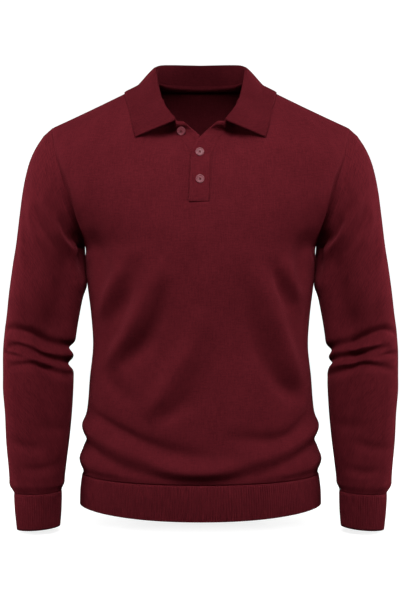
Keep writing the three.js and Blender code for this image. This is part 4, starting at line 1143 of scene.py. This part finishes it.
def band_point(share, angle, out):
    """A point of the band, as far out as asked. Angle 0 is its centre front."""
    c, s = np.cos(angle), np.sin(angle)
    in_front = c > 0
    top, end = (np.where(in_front, BAND_SAG["front" + at], BAND_SAG["back" + at]) for at in ("Top", "End"))
    z = mix(BAND["sideTop"] - SEAM_GAP - top * c * c, BAND["sideEnd"] - end * c * c, share)
    half, deep = half_width(z), np.where(in_front, read(FORM, "z", "front", z), read(FORM, "z", "back", z))
    y = np.where(in_front, -deep, deep) * np.sqrt(clamp(1 - np.abs(s) ** ROUNDNESS))
    nx, ny = s / half, y / deep**2
    size = np.maximum(np.hypot(nx, ny), 1e-9)
    return np.stack([half * s + nx / size * out, y + ny / size * out, z], axis=-1)


band = ribbed("hem_band_rib", band_point, BAND)
hand_in(band, rib_knit, "rib", "hem_band")

# %% Cuffs


def cuff_point(side):
    def place(share, angle, out):
        points = section_point(CUFF_RINGS, share, -side * angle, out)
        points[..., 0] *= side
        return points
    return place


cuffs = {}
for side, name in ((1, "cuff_left"), (-1, "cuff_right")):
    cuffs[name] = ribbed(name + "_rib", cuff_point(side), CUFF)
    hand_in(cuffs[name], rib_knit, "rib", name)

# %% [markdown]
# ## Placket
# Two strips fill the slit in the front. The wearer's left strip lies on top and carries the
# buttonholes, the other lies under it and carries the buttons. Both are folded double along their free
# edge, so that edge is round and thick. Near the neck they part and turn outwards with the collar.

# %% Placket strips
STRIP = dict(height=128, widthSteps=24, heightSteps=90, seamShows=0.42, seamFades=0.2)
# Across its free edge a strip rounds off, and just inside it the fold makes a low ridge.
FREE_EDGE = dict(drop=-0.8, dropReach=1.0, ridge=0.35, ridgeIn=2.6, ridgeReach=1.6)


def strip_point(side, share, height, out=0):
    """A place on a strip: share runs from its seam to its free edge, height from its foot up."""
    sewn_z = mix(PLACKET["foot"], SLOT_TOP_Z, height)
    free_z = mix(PLACKET["foot"], -NECK["frontFloor"], height)
    top = neck_height("front", mix(PLACKET["topX"], PLACKET["spread"], share))
    z = mix(PLACKET["foot"], top, height)
    t = clamp((free_z - PLACKET["kink"]) / (-NECK["frontFloor"] - PLACKET["kink"]))
    overlap = PLACKET["half"] + PLACKET["overlap"]
    free = (PLACKET["spread"] + overlap) * t ** PLACKET["spreadCurve"] - overlap
    x = side * mix(slot_edge(sewn_z), free, share) + placket_centre(sewn_z)
    sewn_out, free_out = PLACKET["upperOut"] if side > 0 else PLACKET["underOut"]
    out = out + leaf_hollow(x, z)
    return on_body("front", x, z, mix(sewn_out * seam_shows(height), free_out, share) + out)


def seam_shows(height):
    """The strips' seams show low down and melt into the knit towards the middle button."""
    return 1 - ease((height - STRIP["seamShows"]) / STRIP["seamFades"])


def strip(side, name):
    share, height = np.meshgrid(
        np.linspace(0, 1, STRIP["widthSteps"] + 1), np.linspace(0, 1, STRIP["heightSteps"] + 1)
    )
    wide = 2 * PLACKET["half"]
    edge = (1 - share) * wide
    out = FREE_EDGE["drop"] * bell(edge, FREE_EDGE["dropReach"])
    out = out + FREE_EDGE["ridge"] * bell(edge - FREE_EDGE["ridgeIn"], FREE_EDGE["ridgeReach"])
    # Seams sink where the strip is sewn down: along its side, and the upper one at its foot too.
    out = out + seam_dip(share * wide) * seam_shows(height)
    if side > 0:
        out = out + seam_dip(height * STRIP["height"])
    points = strip_point(side, share, height, out)
    knit = np.stack([share * wide * side, points[..., 2]], axis=-1)
    return mesh_of(name, points, knit, flip=side > 0)


upper_strip = strip(1, "placket_upper_strip")
under_strip = strip(-1, "placket_under_strip")
for cloth, node in ((upper_strip, "placket_upper"), (under_strip, "placket_under")):
    give_wall(cloth, PLACKET["wall"])
    hand_in(cloth, jersey, "knit", node)

# %% [markdown]
# ## Collar
# A knitted collar is one strip. It stands up from the neck seam, folds over and falls on the shoulders
# as two leaves. Here a short table gives the line of its fold and of its free edge, by their share of
# the way from centre back to the front. Each section is two smooth curves that meet at the fold. The
# last rows before a free edge form a flat tubular hem: a faint groove marks it.

# %% The collar's lines
COLLAR = dict(
    wall=2, endX=36.2, centreY=12, standCurve=1.3, standRise=0.5, leafCurve=1.4, leafFall=0.45,
    hollow=8, lift=0.8, frontLift=16, frontShare=0.75,
)
COLLAR_FINE = dict(half=96, stand=14, leaf=34)
COLLAR_HEM = dict(groove=-0.35, inside=4.2, edge=-0.7, reach=0.9)
COLLAR_LINES = table(
    "share foldX foldY foldZ edgeX edgeY edgeZ roll",
    (0, 0, 62.5, 36, 0, 77, -16, 6), (0.1, 24, 60, 36, 28, 73, -16.5, 6),
    (0.2, 46, 53, 35, 56, 64, -17.5, 6), (0.3, 65, 40, 32, 85, 49, -18.5, 6),
    (0.38, 73, 25, 26.5, 106, 30, -20, 6), (0.46, 74.5, 7, 21, 118.5, 4, -24, 6),
    (0.53, 73.5, -10, 16.5, 119, -18, -31, 6), (0.6, 71.5, -26, 9, 117.5, -34, -39, 5.5),
    (0.7, 68.5, -44, -9, 114.5, -53, -50, 5), (0.8, 64, -60, -29.5, 110.5, -69, -64, 4.5),
    (0.9, 56, -74.5, -58, 106, -85, -88, 4), (1, 37, -87, -88, 101, -95.5, -106, 3.6),
)


def neck_seam(steps, part_points=60, strip_points=16):
    """Points of the neck seam on the wearer's left, evenly from centre back to the collar's end."""
    back_columns = np.linspace(0, NECK_COLUMN, part_points)
    front_columns = np.linspace(NECK_COLUMN, 1, part_points)[1:]
    back_part = on_body("back", *panel_place("back", back_columns, 0 * back_columns + ROW_COUNT))
    front_part = on_body("front", *panel_place("front", front_columns, 0 * front_columns + ROW_COUNT))
    strip_x = np.linspace(PLACKET["topX"], COLLAR["endX"], strip_points)[1:]
    strip_part = on_body("front", strip_x, neck_height("front", strip_x))
    seam = np.concatenate([back_part, front_part, strip_part])
    run = run_length(seam, 0)
    even = np.linspace(0, run[-1], steps + 1)
    return np.stack([np.interp(even, run, seam[:, c]) for c in range(3)], axis=-1)


def out_of_neck(seam):
    """The level direction from the middle of the neck to each point of its seam."""
    away = seam * [1, 1, 0] + [0, COLLAR["centreY"], 0]
    return away / np.linalg.norm(away, axis=-1, keepdims=True)


# %% [markdown]
# A leaf must not sink into the chest or the shoulder. `clear_of_body` feels how far each point is from the
# body's form and moves it out until it has enough room.

# %% Room between the collar and the body


def body_level(p):
    """1 on the body's form, more outside it."""
    x, y, z = p[..., 0], p[..., 1], p[..., 2]
    deep = np.where(y < 0, read(FORM, "z", "front", z), read(FORM, "z", "back", z))
    deep = deep * np.sqrt(1 - clamp(np.abs(x) / half_width(z)) ** ROUNDNESS)
    return np.hypot(y / deep, np.maximum(0, 1 - (ridge(x) - z) / SHOULDER["roundHeight"]))


def clear_of_body(points, distance, tries=6, step=0.01):
    """Moves points out from the body's form, in a few tries, until they are this far clear of it."""
    moved = points.copy()
    for _ in range(tries):
        here = body_level(moved)
        slope = np.stack([(body_level(moved + step * axis) - here) / step for axis in np.eye(3)], axis=-1)
        size = np.linalg.norm(slope, axis=-1)
        short = np.maximum(distance - (here - 1) / size, 0)
        moved += slope * (short / size)[..., None]
    return moved


def curve(t, a, b, c, d):
    """A smooth curve from a to d, which leaves towards b and arrives from c."""
    s = 1 - t
    return s**3 * a + 3 * s * s * t * b + 3 * s * t * t * c + t**3 * d


# %% The collar


def collar():
    seam = neck_seam(COLLAR_FINE["half"])[:, None, :]
    share = np.linspace(0, 1, COLLAR_FINE["half"] + 1)[:, None]
    line = {name: read(COLLAR_LINES, "share", name, share) for name in COLLAR_LINES if name != "share"}
    fold = np.stack([line["foldX"], line["foldY"], line["foldZ"]], axis=-1)
    edge = np.stack([line["edgeX"], line["edgeY"], line["edgeZ"]], axis=-1)
    outward = out_of_neck(seam)
    roll = line["roll"][..., None]
    start = seam - outward * COLLAR["wall"] + UP * SEAM_GAP
    t = (1 - (1 - np.linspace(0, 1, COLLAR_FINE["stand"] + 1)) ** COLLAR["standCurve"])[None, :, None]
    lower = start + UP * (fold - start)[..., 2:] * COLLAR["standRise"]
    stand = curve(t, start, lower, fold - outward * roll, fold)
    v = np.linspace(0, 1, COLLAR_FINE["leaf"] + 1)[None, 1:, None]
    down = mix(edge, fold, COLLAR["leafFall"]) - UP * COLLAR["hollow"] * (1 - share[..., None])
    leaf = curve(v ** COLLAR["leafCurve"], fold, fold + outward * roll, down, edge)
    front_share = ease((share - COLLAR["frontShare"]) / (1 - COLLAR["frontShare"]))
    lift = mix(COLLAR["lift"], COLLAR["frontLift"], front_share * (1 - v[..., 0] ** 2))
    leaf = clear_of_body(leaf, COLLAR["wall"] + lift)
    half = np.concatenate([stand, leaf], axis=1)
    from_edge = run_length(half[:, ::-1], 1)[:, ::-1]
    relief = COLLAR_HEM["groove"] * bell(from_edge - COLLAR_HEM["inside"], COLLAR_HEM["reach"])
    relief = relief + COLLAR_HEM["edge"] * bell(from_edge, COLLAR_HEM["reach"])
    mirror = half[:0:-1] * [-1, 1, 1]
    whole = np.concatenate([mirror, half]).transpose(1, 0, 2)
    relief = np.concatenate([relief[:0:-1], relief]).T
    whole += grid_normals(whole, False) * relief[..., None]
    knit = np.stack([run_length(whole, 1), run_length(whole, 0)], axis=-1)
    return mesh_of("collar_cloth", whole, knit)


collar_cloth = collar()
give_wall(collar_cloth, COLLAR["wall"])
hand_in(collar_cloth, painted_shade_collar_knit, "knit", "collar")

# %% [markdown]
# ## Neck tape
# Inside the back of the neck a narrow knitted tape covers the seam. Its section runs from the back's
# inner face up over the seam to the collar's stand, and bulges a little, so a grid of nine rows is enough.

# %% Neck tape
TAPE = dict(up=4, middle=-1.5, down=5, sideDown=4, lowerOff=4, bulge=0.25, wall=1.2, halfSteps=60, rows=4)


def tape():
    columns = np.linspace(-NECK_COLUMN, NECK_COLUMN, 2 * TAPE["halfSteps"] + 1)
    x, z = panel_place("back", columns, 0 * columns + ROW_COUNT)
    seam = on_body("back", x, z)
    sideways = (seam[:, 0] / SHOULDER["neckX"]) ** 2
    outward = out_of_neck(seam)
    off = COLLAR["wall"] + TAPE["wall"] + 2 * SEAM_GAP + sideways
    low_z = seam[:, 2] - TAPE["down"] - TAPE["sideDown"] * sideways
    low = on_body("back", x, low_z, -TAPE["lowerOff"] - sideways)
    mid = seam + UP * TAPE["middle"] - outward * off[:, None]
    high = seam + UP * (TAPE["up"] * (1 - sideways))[:, None] - outward * off[:, None]
    t = np.linspace(0, 1, TAPE["rows"] + 1)[:, None, None]
    points = np.concatenate([mix(low[None], mid[None], t), mix(mid[None], high[None], t)[1:]])
    bulge = TAPE["bulge"] * np.sin(np.linspace(0, math.pi, len(points)))[:, None]
    points -= outward[None] * bulge[..., None]
    knit = np.stack([run_length(points, 1), run_length(points, 0)], axis=-1)
    return mesh_of("neck_tape_cloth", points, knit, flip=True)


neck_tape = tape()
give_wall(neck_tape, TAPE["wall"])
hand_in(neck_tape, jersey, "knit", "neck_tape")

# %% [markdown]
# ## Buttons
# Three small four-hole buttons hold the placket. A real one is turned or moulded: a disc with a round
# rim, a shallow dish and four holes. Each starts here as a cylinder, whose front is inset and sunk for
# the dish. The rim is bevelled and the holes are cut out. Two loops of thread cross in the dish.

# %% Button finishes


def speckled(name, per_metre, detail, dark, light, **sockets):
    """A finish that wavers between two close colours."""
    made = Finish(name)
    specks = made.noise(made.node("ShaderNodeTexCoord").outputs["Object"], per_metre, detail)
    made.set(base_color=made.between(specks, dark, light), **sockets)
    return made.material


rose = speckled(
    "rose_button", 420, 3.0, (0.125, 0.020, 0.029, 1), (0.185, 0.040, 0.053, 1),
    roughness=0.42, specular_ior_level=0.16, coat_weight=0.05, coat_roughness=0.25,
)
twine = speckled(
    "sewing_thread", 5200, 2.0, (0.055, 0.0045, 0.008, 1), (0.14, 0.012, 0.02, 1),
    roughness=0.8, specular_ior_level=0.1,
)

# %% Sizes of the buttons
BUTTON = dict(
    radius=6.6, thick=2.4, lift=0.45, rim=1.5, slope=0.5, dish=0.7, roundOver=0.45, roundSteps=4,
    hole=0.72, spacing=2.7, sides=48, holeSides=20,
)
BUTTONS = {
    # name: (upper strip 1 or under strip -1, share of its width, share of its height)
    "button_1": (-1, 0.36, 0.875),
    "button_2": (1, 0.62, 0.607),
    "button_3": (1, 0.5, 0.273),
}
THREAD = dict(radius=0.34, arch=0.42, sink=0.35, sides=32, roundSides=10)
SEAT = dict(width=40, points=24)
SHARP_ANGLE = math.radians(40)
print(f"buttons: {2 * BUTTON['radius']} mm across")

# %% A button's disc


def cylinder(radius, depth, place, sides):
    bpy.ops.object.select_all(action="DESELECT")
    bpy.ops.mesh.primitive_cylinder_add(
        vertices=sides, radius=radius * MM, depth=depth * MM, location=Vector(place) * MM
    )
    return bpy.context.object


def apply_last(obj):
    only(obj)
    bpy.ops.object.modifier_apply(modifier=obj.modifiers[-1].name)


def button_disc(name):
    """A button lying flat, its back at the origin and its face up."""
    thick, off = BUTTON["thick"], BUTTON["spacing"] / 2
    disc = cylinder(BUTTON["radius"], thick, (0, 0, thick / 2), BUTTON["sides"])
    disc.name = name
    top = max(disc.data.polygons, key=lambda face: face.center.z).index
    bpy.ops.object.mode_set(mode="EDIT")
    bpy.ops.mesh.select_mode(type="FACE")
    bpy.ops.mesh.select_all(action="DESELECT")
    bpy.ops.object.mode_set(mode="OBJECT")
    disc.data.polygons[top].select = True
    bpy.ops.object.mode_set(mode="EDIT")
    bpy.ops.mesh.inset(thickness=BUTTON["rim"] * MM)
    bpy.ops.mesh.inset(thickness=BUTTON["slope"] * MM, depth=-BUTTON["dish"] * MM)
    bpy.ops.object.mode_set(mode="OBJECT")
    bpy.ops.object.modifier_add(type="BEVEL")
    bevel = disc.modifiers[-1]
    bevel.width, bevel.segments = BUTTON["roundOver"] * MM, BUTTON["roundSteps"]
    bevel.limit_method = "ANGLE"
    apply_last(disc)
    for x, y in ((-off, -off), (off, -off), (off, off), (-off, off)):
        drill = cylinder(BUTTON["hole"], 4 * thick, (x, y, 0), BUTTON["holeSides"])
        only(disc)
        bpy.ops.object.modifier_add(type="BOOLEAN")
        cut = disc.modifiers[-1]
        cut.operation, cut.object, cut.solver = "DIFFERENCE", drill, "EXACT"
        apply_last(disc)
        bpy.data.objects.remove(drill, do_unlink=True)
    return disc


# %% [markdown]
# The thread is two small rings pressed flat. They stand on edge and cross in the dish, so that only their
# tops show, as two stitches do.

# %% A button's thread


def thread_loops(name):
    """Two flat loops that cross over the middle of the button and go down through its holes."""
    level = BUTTON["thick"] - BUTTON["dish"] - THREAD["sink"]
    reach = BUTTON["spacing"] / math.sqrt(2)
    loops = []
    for turn in (45, 135):
        bpy.ops.object.select_all(action="DESELECT")
        bpy.ops.mesh.primitive_torus_add(
            major_radius=reach * MM, minor_radius=THREAD["radius"] * MM, major_segments=THREAD["sides"],
            minor_segments=THREAD["roundSides"], location=(0, 0, level * MM),
            rotation=(math.radians(90), 0, math.radians(turn)),
        )
        loop = bpy.context.object
        loop.scale.y = THREAD["arch"]
        bpy.ops.object.transform_apply(location=True, rotation=True, scale=True)
        loops.append(loop)
    bpy.ops.object.select_all(action="DESELECT")
    for loop in loops:
        loop.select_set(True)
    bpy.context.view_layer.objects.active = loops[0]
    bpy.ops.object.join()
    loops[0].name = name
    return loops[0]


# %% [markdown]
# The cloth is curved, so each button looks for its seat: the strip's own direction there gives its tilt,
# and the highest cloth under it gives its height.

# %% Sewing the buttons on


def seat(side, share, height, near=0.05):
    """The place on a strip where a button sits, and the way it faces."""
    here = Vector(strip_point(side, share, height))
    inner, outer = (strip_point(side, share + step, height) for step in (-side * near, side * near))
    above, below = (strip_point(side, share, height + step) for step in (near, -near))
    outward = Vector(inner - outer).cross(Vector(above - below)).normalized()
    # The button rests on the highest of the cloth under its flat back.
    turn = np.linspace(0, 2 * math.pi, SEAT["points"])
    across = share + np.cos(turn) * BUTTON["radius"] / SEAT["width"]
    rim = strip_point(side, across, height + np.sin(turn) * BUTTON["radius"] / STRIP["height"])
    rest = max(0, ((rim - np.array(here)) @ np.array(outward)).max())
    return (here + outward * (BUTTON["lift"] + rest)) * MM, outward.to_track_quat("Z", "Y")


def sew_on(piece, place, turn, material, slot, *nodes):
    """Moves a piece of a button to its place on the garment, and gives it its finish and its body."""
    only(piece)
    piece.rotation_mode = "QUATERNION"
    piece.location, piece.rotation_quaternion = place, turn
    bpy.ops.object.transform_apply(location=True, rotation=True, scale=True)
    piece.rotation_mode = "XYZ"
    bpy.ops.object.shade_smooth_by_angle(angle=SHARP_ANGLE)
    piece.data.materials.clear()
    piece.data.materials.append(material)
    if nodes:
        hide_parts(*nodes)
    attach(piece, BODY)
    print(f"{piece.name}: {len(piece.data.polygons)} faces at {[round(c / MM, 1) for c in place]}")


for name, spot in BUTTONS.items():
    place, turn = seat(*spot)
    disc, thread = button_disc(name + "_turned"), thread_loops(name + "_thread")
    sew_on(disc, place, turn, rose, "button", name)
    sew_on(thread, place, turn, twine, "knit")

# %% [markdown]
# ## Sizes of the cloth
# Each cloth piece is listed with the size that a maker would cut or knit it to, all round on a tube.

SHEETS = [
    # piece, width, length, area in square metres, how it is held
    (front, 560, 640, 0.30, "draped"),
    (back, 560, 650, 0.31, "draped"),
    (sleeve_left, 400, 600, 0.185, "draped"),
    (sleeve_right, 400, 600, 0.185, "draped"),
    (band, 1000, 50, None, "stretched"),
    (cuffs["cuff_left"], 230, 57, None, "stretched"),
    (cuffs["cuff_right"], 230, 57, None, "stretched"),
    (collar_cloth, 460, 95, None, "folded"),
    (upper_strip, 34, 135, None, "laid"),
    (under_strip, 34, 135, None, "laid"),
    (neck_tape, 190, 10, None, "laid"),
]
for cloth, width, length, area, held in SHEETS:
    share = area_of(cloth) / 2 / (area or width * length * MM * MM)
    print(f"{cloth.name}: as worn {share:.2f} of its cut")

# %% Check the size
low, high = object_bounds()
grown = [round(v / MM, 1) for v in (*(cad_low - low), *(high - cad_high))]
print("proud of the solid box by, in mm:", grown)
